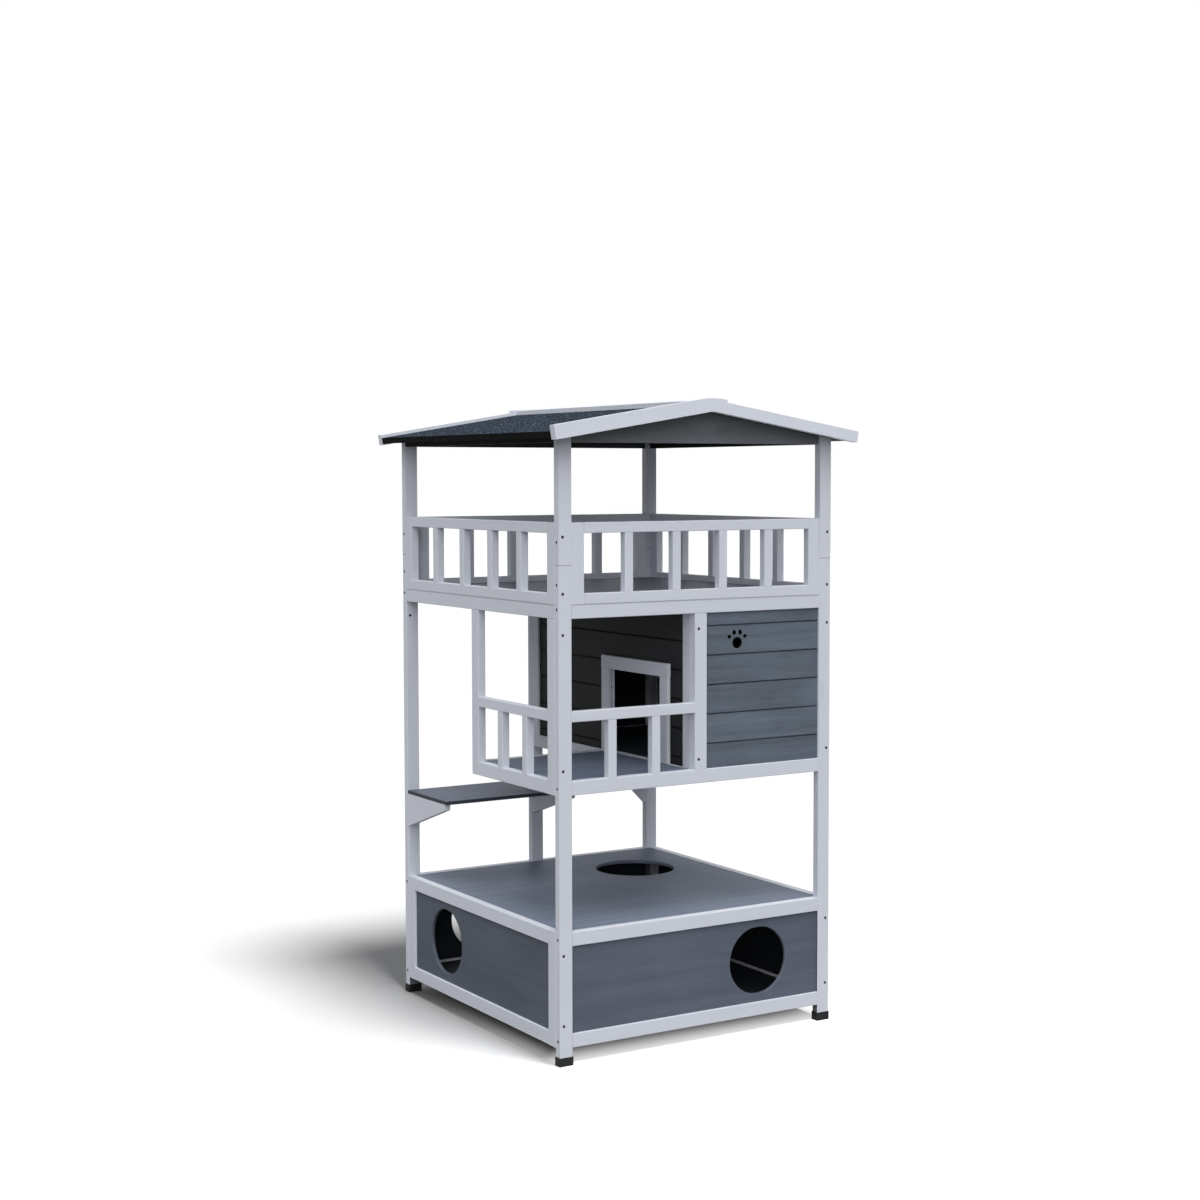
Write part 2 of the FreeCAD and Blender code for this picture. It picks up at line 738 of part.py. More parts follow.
def upper_railings():
    """The deck of the top level and a framed railing on each of its four sides."""
    keep(box("upper_deck", "-frame_inside", "-end_inside", "apron_top",
             "2 * frame_inside", "side_length", "panel_thick"), "upper_deck")
    low = "apron_top + slim_rail"
    high = "railing_top - slim_rail"
    screws = ("upper_low", "upper_high")
    for end_name, y in (("front", "-half_depth"), ("back", "end_inside")):
        label = "upper_%s_railing" % end_name
        upright = ("stile_wide", "stock_thick", "railing_tall", "z")
        level = ("2 * (post_inside - stile_wide)", "stock_thick", "slim_rail", "x")
        left = board(label + "_left_stile", "-post_inside", y, "apron_top", *upright)
        right = board(label + "_right_stile", "post_inside - stile_wide", y, "apron_top", *upright)
        parts = [
            bored(left, *side_keys(end_name + "_left", *screws)),
            bored(right, *side_keys(end_name + "_right", *screws)),
            board(label + "_low_rail", "stile_wide - post_inside", y, "apron_top", *level),
            board(label + "_top_rail", "stile_wide - post_inside", y, high, *level),
        ]
        parts += balusters(label, 4, low, high, "x", "0", y, "stile_wide - post_inside",
                           "(post_inside - stile_wide)")
        group(label, parts)
    for side_name, x, shift in (("left", "-half_width", "0"), ("right", "frame_inside", "right_bars_back")):
        label = "upper_%s_railing" % side_name
        upright = ("stock_thick", "stile_wide", "railing_tall", "z")
        level = ("stock_thick", "2 * stile_inside", "slim_rail", "y")
        front = board(label + "_front_stile", x, "-end_inside", "apron_top", *upright)
        back = board(label + "_back_stile", x, "stile_inside", "apron_top", *upright)
        parts = [
            bored(front, *end_keys("front_" + side_name, *screws)),
            bored(back, *end_keys("back_" + side_name, *screws)),
            board(label + "_low_rail", x, "-stile_inside", "apron_top", *level),
            board(label + "_top_rail", x, "-stile_inside", high, *level),
        ]
        parts += balusters(label, 4, low, high, "y", x, "0", shift + " - stile_inside",
                           "(%s + stile_inside)" % shift)
        group(label, parts)


def floor_battens():
    """Ledger battens under the edges of the floors and decks."""
    size = "batten_size"
    edges = (
        ("base_floor", "-frame_inside", "-end_inside", "side_length", "base_floor_top - panel_thick"),
        ("base_floor_right", "frame_inside - batten_size", "-end_inside", "side_length",
         "base_floor_top - panel_thick"),
        ("base_deck", "-frame_inside", "-end_inside", "side_length", "base_height - deck_drop - panel_thick"),
        ("base_deck_right", "frame_inside - batten_size", "-end_inside", "side_length",
         "base_height - deck_drop - panel_thick"),
        ("balcony", "-frame_inside", "-end_inside", "balcony_depth - 2 * stock_thick",
         "middle_height - deck_drop - panel_thick"),
        ("balcony_right", "partition_left - batten_size", "-end_inside", "balcony_depth - 2 * stock_thick",
         "middle_height - deck_drop - panel_thick"),
        ("room", "door_wall_back", "-end_inside", "side_length", "middle_height - deck_drop - panel_thick"),
        ("room_right", "frame_inside - batten_size", "-end_inside", "side_length",
         "middle_height - deck_drop - panel_thick"),
        ("upper", "-frame_inside", "-end_inside", "side_length", "apron_top"),
        ("upper_right", "frame_inside - batten_size", "-end_inside", "side_length", "apron_top"),
    )
    battens = []
    for name, x, y, length, top in edges:
        battens.append(board(name + "_batten", x, y, top + " - batten_size", size, length, size, "y"))
    group("floor_battens", battens)


def shelf():
    """The jump shelf on its two brackets, and the knee brace under the room."""
    board_low = "shelf_top - panel_thick"
    keep(box("shelf_board", "-half_width", "end_inside - shelf_deep", board_low,
             "half_width + partition_right", "shelf_deep", "panel_thick"), "shelf_board")
    corners = (
        ("0", "bracket_tall - bracket_nose"),
        ("bracket_deep", "0"),
        ("bracket_deep", "bracket_tall"),
        ("0", "bracket_tall"),
    )
    brackets = []
    for name, x in (("left", "-half_width"), ("right", "partition_left - bracket_set")):
        brackets.append(outline(
            "shelf_bracket_" + name, "YZ_Plane", corners, "bracket_thick",
            x, "end_inside - bracket_deep", board_low + " - bracket_tall",
        ))
    group("shelf_brackets", brackets)
    slant = "stile_wide * sqrt(2)"
    brace = outline(
        "room_knee_brace", "XZ_Plane",
        (("0", "brace_reach"), ("brace_reach", "0"), ("brace_reach", slant), (slant, "brace_reach")),
        "stock_thick", "post_inside - brace_reach", "end_inside", "middle_low - brace_reach",
    )
    keep(brace, "room_knee_brace")


def slope_point(reach, ridge, along, up):
    """Distance from the ridge and height of a point near the square lower end of a slope.

    reach is how far out the slope's underside ends and ridge its height at the ridge line;
    the point lies along past that end and up from the underside.
    """
    out = "%s + (%s) * roof_cosine + (%s) * roof_sine" % (reach, along, up)
    level = "%s - roof_slope * (%s) - (%s) * roof_sine + (%s) * roof_cosine" % (ridge, reach, along, up)
    return out, level


def slope_piece(name, side, corners, reach, foot, length, y):
    """A piece of one roof slope, from corners given as distance out from the ridge and height."""
    local = []
    for out, level in corners:
        across = out if side > 0 else "%s - (%s)" % (reach, out)
        local.append((across, "%s - (%s)" % (level, foot)))
    x = "0" if side > 0 else "-(%s)" % reach
    return outline(name, "XZ_Plane", local, length, x, y, foot)


def roof_covering(start):
    """Roof boards, and felt that lies on them and folds down over the eave edge."""
    reach = "eave_reach - (barge_wide - barge_lip) * roof_sine - felt_thick"
    board_top = "ridge_under + roof_board * roof_stretch"
    felt_up = "roof_board + felt_thick"

    def corner(along, up):
        return slope_point(reach, "ridge_under", along, up)

    board_corners = (
        ("0", "ridge_under"),
        corner("0", "0"),
        corner("0", "roof_board"),
        ("0", board_top),
    )
    felt_corners = (
        ("0", board_top),
        corner("0", "roof_board"),
        corner("0", "0"),
        corner("felt_thick", "0"),
        corner("felt_thick", felt_up),
        ("0", "ridge_under + (%s) * roof_stretch" % felt_up),
    )
    felts = []
    for name, side in (("left", -1), ("right", 1)):
        label = "roof_board_" + name
        top = corner("0", "roof_board")[0]
        foot = corner("0", "0")[1]
        keep(slope_piece(label + "_sheet", side, board_corners, top, foot, "roof_length", start), label)
        top = corner("felt_thick", felt_up)[0]
        foot = corner("felt_thick", "0")[1]
        felts.append(slope_piece("roof_felt_" + name, side, felt_corners, top, foot, "roof_length", start))
    group("roof_felts", felts)


def barge_boards():
    """Boards up the roof's four sloping edges.

    At each end the full board laps over the ridge and the narrower one butts against it; the two
    halves of the roof are alike, so the full board is on the left at the front and on the right
    at the back.
    """
    reach = "eave_reach - barge_wide * roof_sine"
    foot = "ridge_low - roof_slope * (%s)" % reach
    lap_low = "ridge_low - roof_slope * barge_lap"
    flat = "ridge_flat / roof_slope"
    crest = "ridge_low + barge_wide * roof_stretch - ridge_flat"
    full_corners = (
        ("-barge_lap", lap_low),
        ("0", "ridge_low"),
        slope_point(reach, "ridge_low", "0", "0"),
        slope_point(reach, "ridge_low", "0", "barge_wide"),
        (flat, crest),
        ("-" + flat, crest),
        ("-barge_lap", lap_low + " + barge_wide * roof_stretch"),
    )
    narrow_wide = "(barge_wide - barge_narrow)"
    narrow_corners = (
        ("barge_lap", lap_low),
        slope_point(reach, "ridge_low", "0", "0"),
        slope_point(reach, "ridge_low", "0", narrow_wide),
        ("barge_lap", "%s + %s * roof_stretch" % (lap_low, narrow_wide)),
    )
    left_boards = []
    right_boards = []
    for name, y, left_corners, right_corners in (
        ("front", "-roof_end", full_corners, narrow_corners),
        ("back", "roof_end - barge_thick", narrow_corners, full_corners),
    ):
        left_boards.append(slope_piece(
            "left_barge_" + name, -1, left_corners, "eave_reach", foot, "barge_thick", y,
        ))
        right_boards.append(slope_piece(
            "right_barge_" + name, 1, right_corners, "eave_reach", foot, "barge_thick", y,
        ))
    group("left_barge_boards", left_boards)
    group("right_barge_boards", right_boards)


def roof():
    """The whole roof: covering, barge boards, gables, eave beams and ridge cap."""
    start = "barge_thick - roof_end"
    roof_covering(start)
    barge_boards()
    gable_side = "ridge_under - roof_slope * post_inside - gable_low"
    gable_corners = (
        ("0", "0"),
        ("end_length", "0"),
        ("end_length", gable_side),
        ("post_inside", "ridge_under - gable_low"),
        ("0", gable_side),
    )
    gables = []
    for name, y in (
        ("front", "-half_depth + panel_recess"),
        ("back", "half_depth - panel_recess - panel_thick"),
    ):
        gables.append(outline(
            "gable_panel_" + name, "XZ_Plane", gable_corners, "panel_thick", "-post_inside", y, "gable_low",
        ))
    group("gable_panels", gables)

    outer = "ridge_under - roof_slope * half_width - gable_low"
    inner = "ridge_under - roof_slope * frame_inside - gable_low"
    beams = []
    for name, x, left, right in (
        ("left", "-half_width", outer, inner),
        ("right", "frame_inside", inner, outer),
    ):
        beams.append(outline(
            "eave_beam_" + name, "XZ_Plane",
            (("0", "0"), ("stock_thick", "0"), ("stock_thick", right), ("0", left)),
            "side_length", x, "-end_inside", "gable_low",
        ))
    group("eave_beams", beams)

    drop = "roof_slope * cap_reach"
    keep(outline(
        "ridge_cap", "XZ_Plane",
        (
            ("0", "0"),
            ("cap_reach", drop),
            ("2 * cap_reach", "0"),
            ("2 * cap_reach", "cap_thick"),
            ("cap_reach", drop + " + cap_thick"),
            ("0", "cap_thick"),
        ),
        "roof_length", "-cap_reach", start,
        "ridge_under + (roof_board + felt_thick) * roof_stretch - " + drop,
    ), "ridge_cap")


def frame_screws():
    """The screws that hold the frames to the posts: short ones through their thickness, long ones across."""
    short = []
    long = []
    for key, spot in screw_spots().items():
        kind = long if key[1] == "side" else short
        kind.append(screw("screw_" + "_".join(key), spot))
    group("short_screws", short)
    group("long_screws", long)


def check_and_export():
    """Check every object and sub-part, then write one STEP file per sub-part."""
    doc.recompute()
    faults = [obj.Label for obj in doc.Objects if "Invalid" in obj.State or "Error" in obj.State]
    if faults:
        raise RuntimeError("objects that failed: " + ", ".join(faults))
    os.makedirs("parts", exist_ok=True)
    for obj in nodes:
        shape = obj.Shape
        if shape.isNull() or not shape.isValid() or not shape.Solids:
            raise RuntimeError("bad shape: " + obj.Label)
        if min(solid.Volume for solid in shape.Solids) < 1:
            raise RuntimeError("empty solid: " + obj.Label)
        shape.exportStep("parts/%s.step" % obj.Label)


fill_sheet()
make_bores()
posts()
base_box()
middle_frame()
room()
balcony_railing()
upper_railings()
floor_battens()
shelf()
roof()
frame_screws()
check_and_export()
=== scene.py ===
"""Outdoor cat house: the finish of its timber, boards, felt roof, feet and screws, and a plain studio."""

import json
import math

import bmesh
import bpy
from bpy.props import FloatProperty, FloatVectorProperty, IntProperty, PointerProperty
from mathutils import Euler, Matrix, Vector


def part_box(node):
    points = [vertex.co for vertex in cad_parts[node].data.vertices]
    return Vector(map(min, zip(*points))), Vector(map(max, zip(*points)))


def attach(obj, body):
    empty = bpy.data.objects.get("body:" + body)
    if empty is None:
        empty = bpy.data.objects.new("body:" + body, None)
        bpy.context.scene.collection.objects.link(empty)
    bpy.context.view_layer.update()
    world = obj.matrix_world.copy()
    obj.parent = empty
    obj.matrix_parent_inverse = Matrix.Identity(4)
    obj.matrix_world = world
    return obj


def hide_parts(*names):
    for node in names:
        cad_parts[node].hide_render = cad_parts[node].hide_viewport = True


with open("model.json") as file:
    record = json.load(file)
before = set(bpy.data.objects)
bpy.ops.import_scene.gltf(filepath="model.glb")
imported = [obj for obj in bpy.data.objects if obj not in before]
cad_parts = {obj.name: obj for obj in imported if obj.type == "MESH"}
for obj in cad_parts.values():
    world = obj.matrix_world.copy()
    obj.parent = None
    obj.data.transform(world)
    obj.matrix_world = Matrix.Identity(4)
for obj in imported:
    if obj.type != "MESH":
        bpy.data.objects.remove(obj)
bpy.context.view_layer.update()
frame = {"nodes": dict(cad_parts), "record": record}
NODES = frame["nodes"]
SLOTS = {row["node"]: row["material_slot"] for row in frame["record"]["subparts"]}

bl_info = {
    "name": "Outdoor cat house",
    "version": (1, 0, 0),
    "blender": (4, 5, 0),
    "location": "View3D > Sidebar > Cat house",
    "description": "Paints, fits and lights an outdoor cat house around its CAD frame",
    "category": "Object",
}

BODY = "root"

# In metres: corners that count as one, corners that lie in one plane, the band round a board's outline that
# holds no hole, how far a cutter reaches past a board, and a height above the whole house.
MERGE, IN_PLANE, OUTLINE, CUT_PAST, ABOVE = 1e-6, 2e-5, 0.02, 0.005, 10.0
# Share of a direction that lies along an axis when the two count as parallel, and when they are far from it.
LEVEL, ASKEW = 0.999, 0.3
# In radians, the angles between two faces that make an edge a real one and a square one.
REAL_EDGE, SQUARE_EDGE = 0.1, 1.0

ACROSS = Vector((1, 0, 0))
DEEP = Vector((0, 1, 0))
UPRIGHT = Vector((0, 0, 1))

# Slate boards and plank walls: the setting of each one's paint, the way its grain runs, and the way its
# inner face looks, which gets painted shade, or BETWEEN for a pair of boards whose inner faces look at each
# other.
BETWEEN = "between"
SLATE = {
    "base_front_panel": ("slate_paint", ACROSS, DEEP),
    "base_back_panel": ("slate_paint", ACROSS, -DEEP),
    "base_left_panel": ("shaded_side_paint", DEEP, ACROSS),
    "base_right_panel": ("shaded_side_paint", DEEP, -ACROSS),
    "base_floor": ("slate_paint", ACROSS, UPRIGHT),
    "base_deck": ("deck_paint", ACROSS, -UPRIGHT),
    "balcony_floor": ("deck_paint", ACROSS, None),
    "room_floor": ("deck_paint", ACROSS, UPRIGHT),
    "shelf_board": ("shaded_deck_paint", ACROSS, None),
    "upper_deck": ("shaded_deck_paint", ACROSS, None),
    "gable_panels": ("lit_gable_paint", ACROSS, BETWEEN),
    "room_front_planks": ("plank_paint", ACROSS, DEEP),
    "room_back_planks": ("plank_paint", ACROSS, -DEEP),
    "room_right_planks": ("plank_paint", DEEP, -ACROSS),
    "door_wall_planks": ("door_wall_shade", DEEP, ACROSS),
}
UNDER_ROOF = ("roof_board_left", "roof_board_right", "eave_beams")
BARGES = ("left_barge_boards", "right_barge_boards", "ridge_cap")
LOWER_POSTS = tuple(node for node in SLOTS if node.startswith("lower_post_"))
JOINTED = ("end_aprons", "side_aprons", *LOWER_POSTS)
HOLED_BOARDS = ("base_front_panel", "base_back_panel", "base_left_panel", "base_deck")

# Looks of the paints that don't follow from a setting. Inputs of the board's node group have a capital.
PALE = {"Knots": 0.25, "Roughness": 0.48, "gloss": 0.2}
PINE = {"Grain": 0.3, "Knots": 1.0, "Roughness": 0.7, "gloss": 0.15}
UNDER_ROOF_LOOKS = {"Grain": 0.15, "Knots": 0.3, "Roughness": 0.7, "gloss": 0.05}
DOOR_GLOSS = 0.05

# Softwood, with X along the grain: repeats in a metre of its streaks, fibres and the cells that may hold a
# knot, how far a knot bends the grain, how one plank's grain is shifted from the next one's, and where the
# dark line of a joint starts to fade and ends.
STREAKS = (1.5, 38, 38)
FIBRES = (22, 520, 520)
KNOT_CELLS = (3.1, 8.5, 8.5)
KNOT_BEND = (0, 0.016, 0.016)
PLANK_SHIFT = (9, 5, 5)
JOINT_LINE = (0.0012, 0.0036)
# Repeats in a metre of the felt's pressed grains, their clumps, and the tones of the loose grains.
COARSE_GRAINS, FINE_GRAINS, CLUMPS, LOOSE_TONES = 230, 620, 36, 240
# The middle of a noise's range, which holds most of it.
MIDDLE = (0.3, 0.7)

# Least and greatest shape of a loose grain, in grain sizes.
GRAIN_LEAST, GRAIN_MOST = (0.55, 0.55, 0.4), (1.25, 1.25, 0.9)
# The paw vent: its pad's height and how egg-shaped it is, and how far the vent reaches, in pads; and for each
# toe its place across and up from the pad's middle, in half pads, and its half sizes, in half toes.
PAD_TALL, PAD_EGG, OVAL_SIDES = 0.97, 0.06, 28
VENT_REACH = 1.2
TOES = ((0.61, 1.8, 0.92, 1.0), (1.62, 1.1, 0.87, 0.8))
# A foot cap: its lip as a share of its wall, and how far the middle of a rounded edge is set back.
LIP, SET_BACK = 1 / 3, 0.3
# A screw: its core as a share of its width, its neck of its core, its plain part of its shank, the foot of
# the recess of its top, and the rings of one turn of thread of the pitch; and the height of its head's rim.
CORE, NECK, PLAIN_PART, RECESS_FOOT, TURN = 0.36, 1.25, 0.3, 0.35, (0.35, 0.6, 0.85)
HEAD_RIM, SCREW_SIDES = 0.0004, 20
# In metres, soft edges of the painted light on the floor under the rails and of the painted shade on inner
# faces.
PAINTED_LIGHT_EDGE, INNER_SHADE_EDGE = 0.01, 0.002


def colour(name, description, *steps):
    """A colour that a user may change, from the 0 to 255 steps of a colour chart."""
    shares = [step / 255 for step in steps]
    linear = [s / 12.92 if s <= 0.04045 else ((s + 0.055) / 1.055) ** 2.4 for s in shares]
    return FloatVectorProperty(
        name=name, description=description, subtype="COLOR", size=4, min=0, max=1, default=(*linear, 1.0))


def amount(name, description, default, **kind):
    """A number from 0 up that a user may change."""
    return FloatProperty(name=name, description=description, default=default, min=0, **kind)


def length(name, description, default):
    """A length in metres that a user may change."""
    return amount(name, description, default, unit="LENGTH", precision=4)


def share(name, description, default):
    """A share from 0 to 1 that a user may change."""
    return amount(name, description, default, max=1, subtype="FACTOR")


def angle(name, description, degrees):
    """An angle that a user may change."""
    return FloatProperty(name=name, description=description, default=math.radians(degrees), subtype="ANGLE")


def direction(lamp, *default):
    """The direction that a lamp shines from, which a user may change."""
    return FloatVectorProperty(
        name=lamp + " side", description="Direction that the %s shines from" % lamp.lower(),
        subtype="DIRECTION", default=default)


class CatHouseFinishes(bpy.types.PropertyGroup):
    """Colours of the finishes, and how strongly the timber shows through them."""

    light_paint: colour("Light paint", "Satin paint on the frame timber", 199, 203, 213)
    # A whiter copy of the light paint, so the barge boards and ridge cap look brighter than the rest of the
    # frame.
    barge_paint: colour("Barge paint", "Whiter paint on the barge boards and the ridge cap", 207, 211, 221)
    slate_paint: colour("Slate paint", "Thin paint on the panels of the base", 86, 93, 105)
    # Painted shade: a darker copy of the slate paint for the base's side panels, which stand in more shade
    # than the front one.
    shaded_side_paint: colour("Side paint", "Darker slate paint on the base's side panels", 79, 85, 96)
    plank_paint: colour("Plank paint", "Thin paint on the planks of the room", 91, 99, 110)
    deck_paint: colour("Deck paint", "Paint on the base deck and the middle floors", 103, 112, 129)
    # Painted shade: a darker copy of the deck paint for the shelf and the upper deck, which lie under the
    # upper deck and the roof.
    shaded_deck_paint: colour("Shelf paint", "Paint on the shelf and the upper deck", 88, 95, 109)
    # Painted light: a paler copy of the slate paint that lifts the gables out of the shade under the barge
    # boards.
    lit_gable_paint: colour("Gable paint", "Greyer slate paint on the gables", 108, 112, 117)
    # Painted shade: the door wall's planks are slate like the other walls, darkened to the deep shade under
    # the upper deck.
    door_wall_shade: colour("Door wall stain", "Dark stain on the planks round the doorway", 38, 39, 41)
    # Partly painted shade: the roof boards and eave beams are dark paint, and this near-black colour also
    # paints in the deep shade under the roof.
    roof_under: colour("Roof underside", "Near-black stain under the felt", 15, 15, 14)
    scorch: colour("Scorched wood", "Walls of the vent, burnt by the cutter", 14, 13, 12)
    bare_timber: colour("Bare timber", "Battens, and timber that shows at rubbed edges", 205, 178, 142)
    felt: colour("Felt", "Bitumen felt between the mineral grains", 8, 9, 10)
    mineral: colour("Mineral grains", "The paler grains pressed into the felt", 48, 63, 82)
    grit: colour("Loose grains", "The palest of the loose grains on the felt", 120, 144, 170)
    foot: colour("Feet", "Moulded plastic of the foot caps", 14, 15, 17)
    screw: colour("Screws", "Black coating of the screws", 52, 54, 60)
    light_grain: share("Grain in light paint", "How strongly grain shows through the light paint", 0.06)
    slate_grain: share("Grain in slate paint", "How strongly grain shows through the slate paint", 0.4)
    plank_grain: share("Grain in planks", "How strongly grain shows through the paint on the planks", 0.6)
    plank_joint: share("Plank joints", "How dark the open joints between planks look", 0.5)
    # Darkens a band just under the tops: on the base panels it is painted shadow under the top rails, on the
    # posts a joint, and the aprons get the same line.
    joint_and_shadow_line: share("Panel joints", "How dark panels, aprons and posts are just under their tops", 0.4)
    # Darkens the shelf's upright edges.
    shelf_edge_dark: share("Shelf edge", "How much darker the raw edges of the shelf are", 0.65)
    # Painted shade: how much darker the inner faces of den, room and gables, and the posts inside the den,
    # are made.
    inner_shade: share("Inner faces", "How much darker the inner faces of den, room and gables are", 0.8)
    plank_tone: share("Plank tone", "How much one plank's tone differs from the next", 0.07)
    edge_wear: share("Edge wear", "How far the paint is rubbed from the edges", 0.3)


class CatHouseSizes(bpy.types.PropertyGroup):
    """Small sizes that the finish adds to the CAD shapes."""

    rim_ease: length("Hole rim", "Radius that the rims of the round holes are eased to", 0.0025)
    plank_cover: length("Plank cover", "Height of wall that each plank covers", 0.069)
    front_rip: length("Front top plank", "Height of the ripped plank at the top of the front wall", 0.031)
    vent_across: length("Vent place", "Distance of the paw vent from the middle of the house", 0.109)
    vent_level: length("Vent level", "Height of the middle of the vent's pad", 0.937)
    vent_pad: length("Vent pad", "Width of the vent's pad", 0.0275)
    vent_toe: length("Vent toe", "Height of the vent's taller toes", 0.0115)
    head_wide: length("Screw head", "Width of a screw head", 0.007)
    head_deep: length("Screw head depth", "Depth of the countersunk head", 0.003)
    shank_wide: length("Screw shank", "Width of a screw over its thread", 0.004)
    thread_pitch: length("Thread pitch", "Distance from one turn of thread to the next", 0.0018)
    recess_wide: length("Recess", "Width across a screw's cross recess", 0.0042)
    recess_slot: length("Recess slot", "Width of one slot of the cross recess", 0.0011)
    recess_deep: length("Recess depth", "Depth of the cross recess", 0.0016)
    grain_size: length("Grain size", "Width of a loose mineral grain on the felt", 0.0021)
    grains: amount("Grains", "Loose mineral grains on a square metre of felt", 8000)
    cap_corner: length("Cap corner", "Radius of a foot cap's corners", 0.003)
    cap_sole: length("Cap sole", "Radius of the edge round a foot cap's sole", 0.0012)
    seed: IntProperty(
        name="Seed", description="Seed for the turn of screws and the place of grains", default=7)


class CatHouseStage(bpy.types.PropertyGroup):
    """Camera, lamps and floor."""

    camera_place: FloatVectorProperty(
        name="Camera place", description="Where the camera stands", subtype="XYZ", unit="LENGTH",
        default=(-2.5984, -4.1927, 1.3294))
    camera_yaw: angle("Yaw", "Turn of the view from straight at the front", 31.482)
    camera_dip: angle("Dip", "How far the view looks down", 3.576)
    camera_roll: angle("Roll", "Tilt of the horizon", -0.109)
    lens: amount("Lens", "Focal length on a 36 mm sensor", 59.58, unit="CAMERA")
    top_lamp: amount("Top lamp", "Strength of the lamp above", 1.8)
    top_from: direction("Top lamp", 0.0, -0.6, 1.0)
    front_lamp: amount("Front lamp", "Strength of the lamp at the front", 1.3)
    front_from: direction("Front lamp", -0.6, -0.9, 0.42)
    side_lamp: amount("Side lamp", "Strength of the lamp at the left", 1.6)
    side_from: direction("Side lamp", -0.8, -0.25, 1.8)
    back_lamp: amount("Back lamp", "Strength of the lamp behind the right corner", 1.3)
    back_from: direction("Back lamp", 0.75, 0.7, 0.25)
    lamp_spread: angle("Lamp spread", "Width of a lamp as the house sees it", 40)
    floor_lamp: amount("Floor lamp", "Strength of the lamp that lights only the floor", 3.15)
    floor_from: direction("Floor lamp", 0.07, -0.42, 1.0)
    floor_spread: angle("Floor lamp spread", "Width of the floor lamp as the floor sees it", 19)
    fill: amount("Fill", "Strength of the light from all round", 0.17)
    floor_wide: length("Floor", "Width of the floor", 60.0)
    floor_tone: share("Floor tone", "How pale the floor looks", 0.95)
    floor_glow: share("Floor glow", "How bright the floor stays in shadow", 0.012)
    # Painted light: emission on the floor under the front and left rails, standing in for light that comes in
    # under them.
    front_painted_light: share("Front glow", "How much light comes in under the front rail", 0.7)
    side_painted_light: share("Side glow", "How much light comes in under the left rail", 0.27)
    front_reach: length("Front reach", "How far that light reaches in under the front rail", 0.155)
    side_reach: length("Side reach", "How far that light reaches in under the left rail", 0.068)
    floor_bounce: share("Floor bounce", "How much light the floor throws back on the house", 0.25)


def finishes():
    """The finishes that the scene is set to."""
    return bpy.context.scene.cat_house_finishes


def plug(value, socket):
    """Link a socket to an input, or give the input a value."""
    if isinstance(value, bpy.types.NodeSocket):
        socket.id_data.links.new(value, socket)
    else:
        socket.default_value = value


def add(tree, kind, settings=None, *values, **inputs):
    """The outputs of a new node, its inputs filled in order or by label, with _ for a space in a label."""
    node = tree.nodes.new(kind if "Node" in kind else "ShaderNode" + kind)
    for key, value in (settings or {}).items():
        setattr(node, key, value)
    for socket, value in zip(node.inputs, values):
        if value is not None:
            plug(value, socket)
    for key, value in inputs.items():
        plug(value, node.inputs[key.replace("_", " ")])
    return node.outputs


def join(kind, settings=None, *values, **inputs):
    """The outputs of a new node in the tree of the first socket that it takes."""
    sockets = [value for value in (*values, *inputs.values()) if isinstance(value, bpy.types.NodeSocket)]
    return add(sockets[0].id_data, kind, settings, *values, **inputs)


def sums(operation, *values, clamp=False):
    """The result of a Math node."""
    return join("Math", {"operation": operation, "use_clamp": clamp}, *values)[0]


def vectors(operation, *values):
    """The vector result of a Vector Math node."""
    return join("VectorMath", {"operation": operation}, *values)["Vector"]


def along(vector, way):
    """How far a vector goes a given way."""
    return join("VectorMath", {"operation": "DOT_PRODUCT"}, vector, way)["Value"]


def ramp(value, low, high, bottom=0.0, top=1.0):
    """A value carried smoothly from one range to another and held at its ends."""
    return join("MapRange", {"interpolation_type": "SMOOTHSTEP"}, value, low, high, bottom, top)["Result"]


def noise(vector, scale, detail, roughness, distortion=0.0):
    """The value of a Noise Texture node."""
    return join("TexNoise", Vector=vector, Scale=scale, Detail=detail, Roughness=roughness,
                Distortion=distortion)[0]


def cells(vector, scale):
    """The outputs of a Voronoi Texture node."""
    return join("TexVoronoi", Vector=vector, Scale=scale)


def channel(cell, name):
    """One channel of the cells' chance colours."""
    return join("SeparateColor", Color=cell["Color"])[name]


def own_place(tree):
    """Object coordinates."""
    return add(tree, "TexCoord")["Object"]


def looking(tree, way, low=0.5, high=0.8, both=False):
    """Mask of the faces that look a given way, or with both also the opposite way."""
    facing = along(add(tree, "NewGeometry")["True Normal"], way)
    return ramp(sums("ABSOLUTE", facing) if both else facing, low, high)


def blend(factor, first, second):
    """Two colours mixed by a factor."""
    return join("Mix", {"data_type": "RGBA"}, factor, *[None] * 5, first, second)[2]


def lit(paint, value):
    """A colour made lighter or darker by a value."""
    return join("HueSaturation", Color=paint, Value=value)[0]


def darken(paint, mask, depth):
    """A colour made darker where a mask says."""
    return lit(paint, ramp(mask, 0, 1, 1, 1 - depth))


def new_group(name, kind, inputs, outputs):
    """An empty node group with its input and output sockets, each given by its type or its default number."""
    tree = bpy.data.node_groups.new(name, kind)
    for label, value in inputs.items():
        typed = value if isinstance(value, str) else "Float"
        socket = tree.interface.new_socket(label, in_out="INPUT", socket_type="NodeSocket" + typed)
        if value != typed:
            socket.default_value = value
    for label, typed in outputs.items():
        tree.interface.new_socket(label, in_out="OUTPUT", socket_type="NodeSocket" + typed)
    return tree, tree.nodes.new("NodeGroupInput").outputs, tree.nodes.new("NodeGroupOutput").inputs


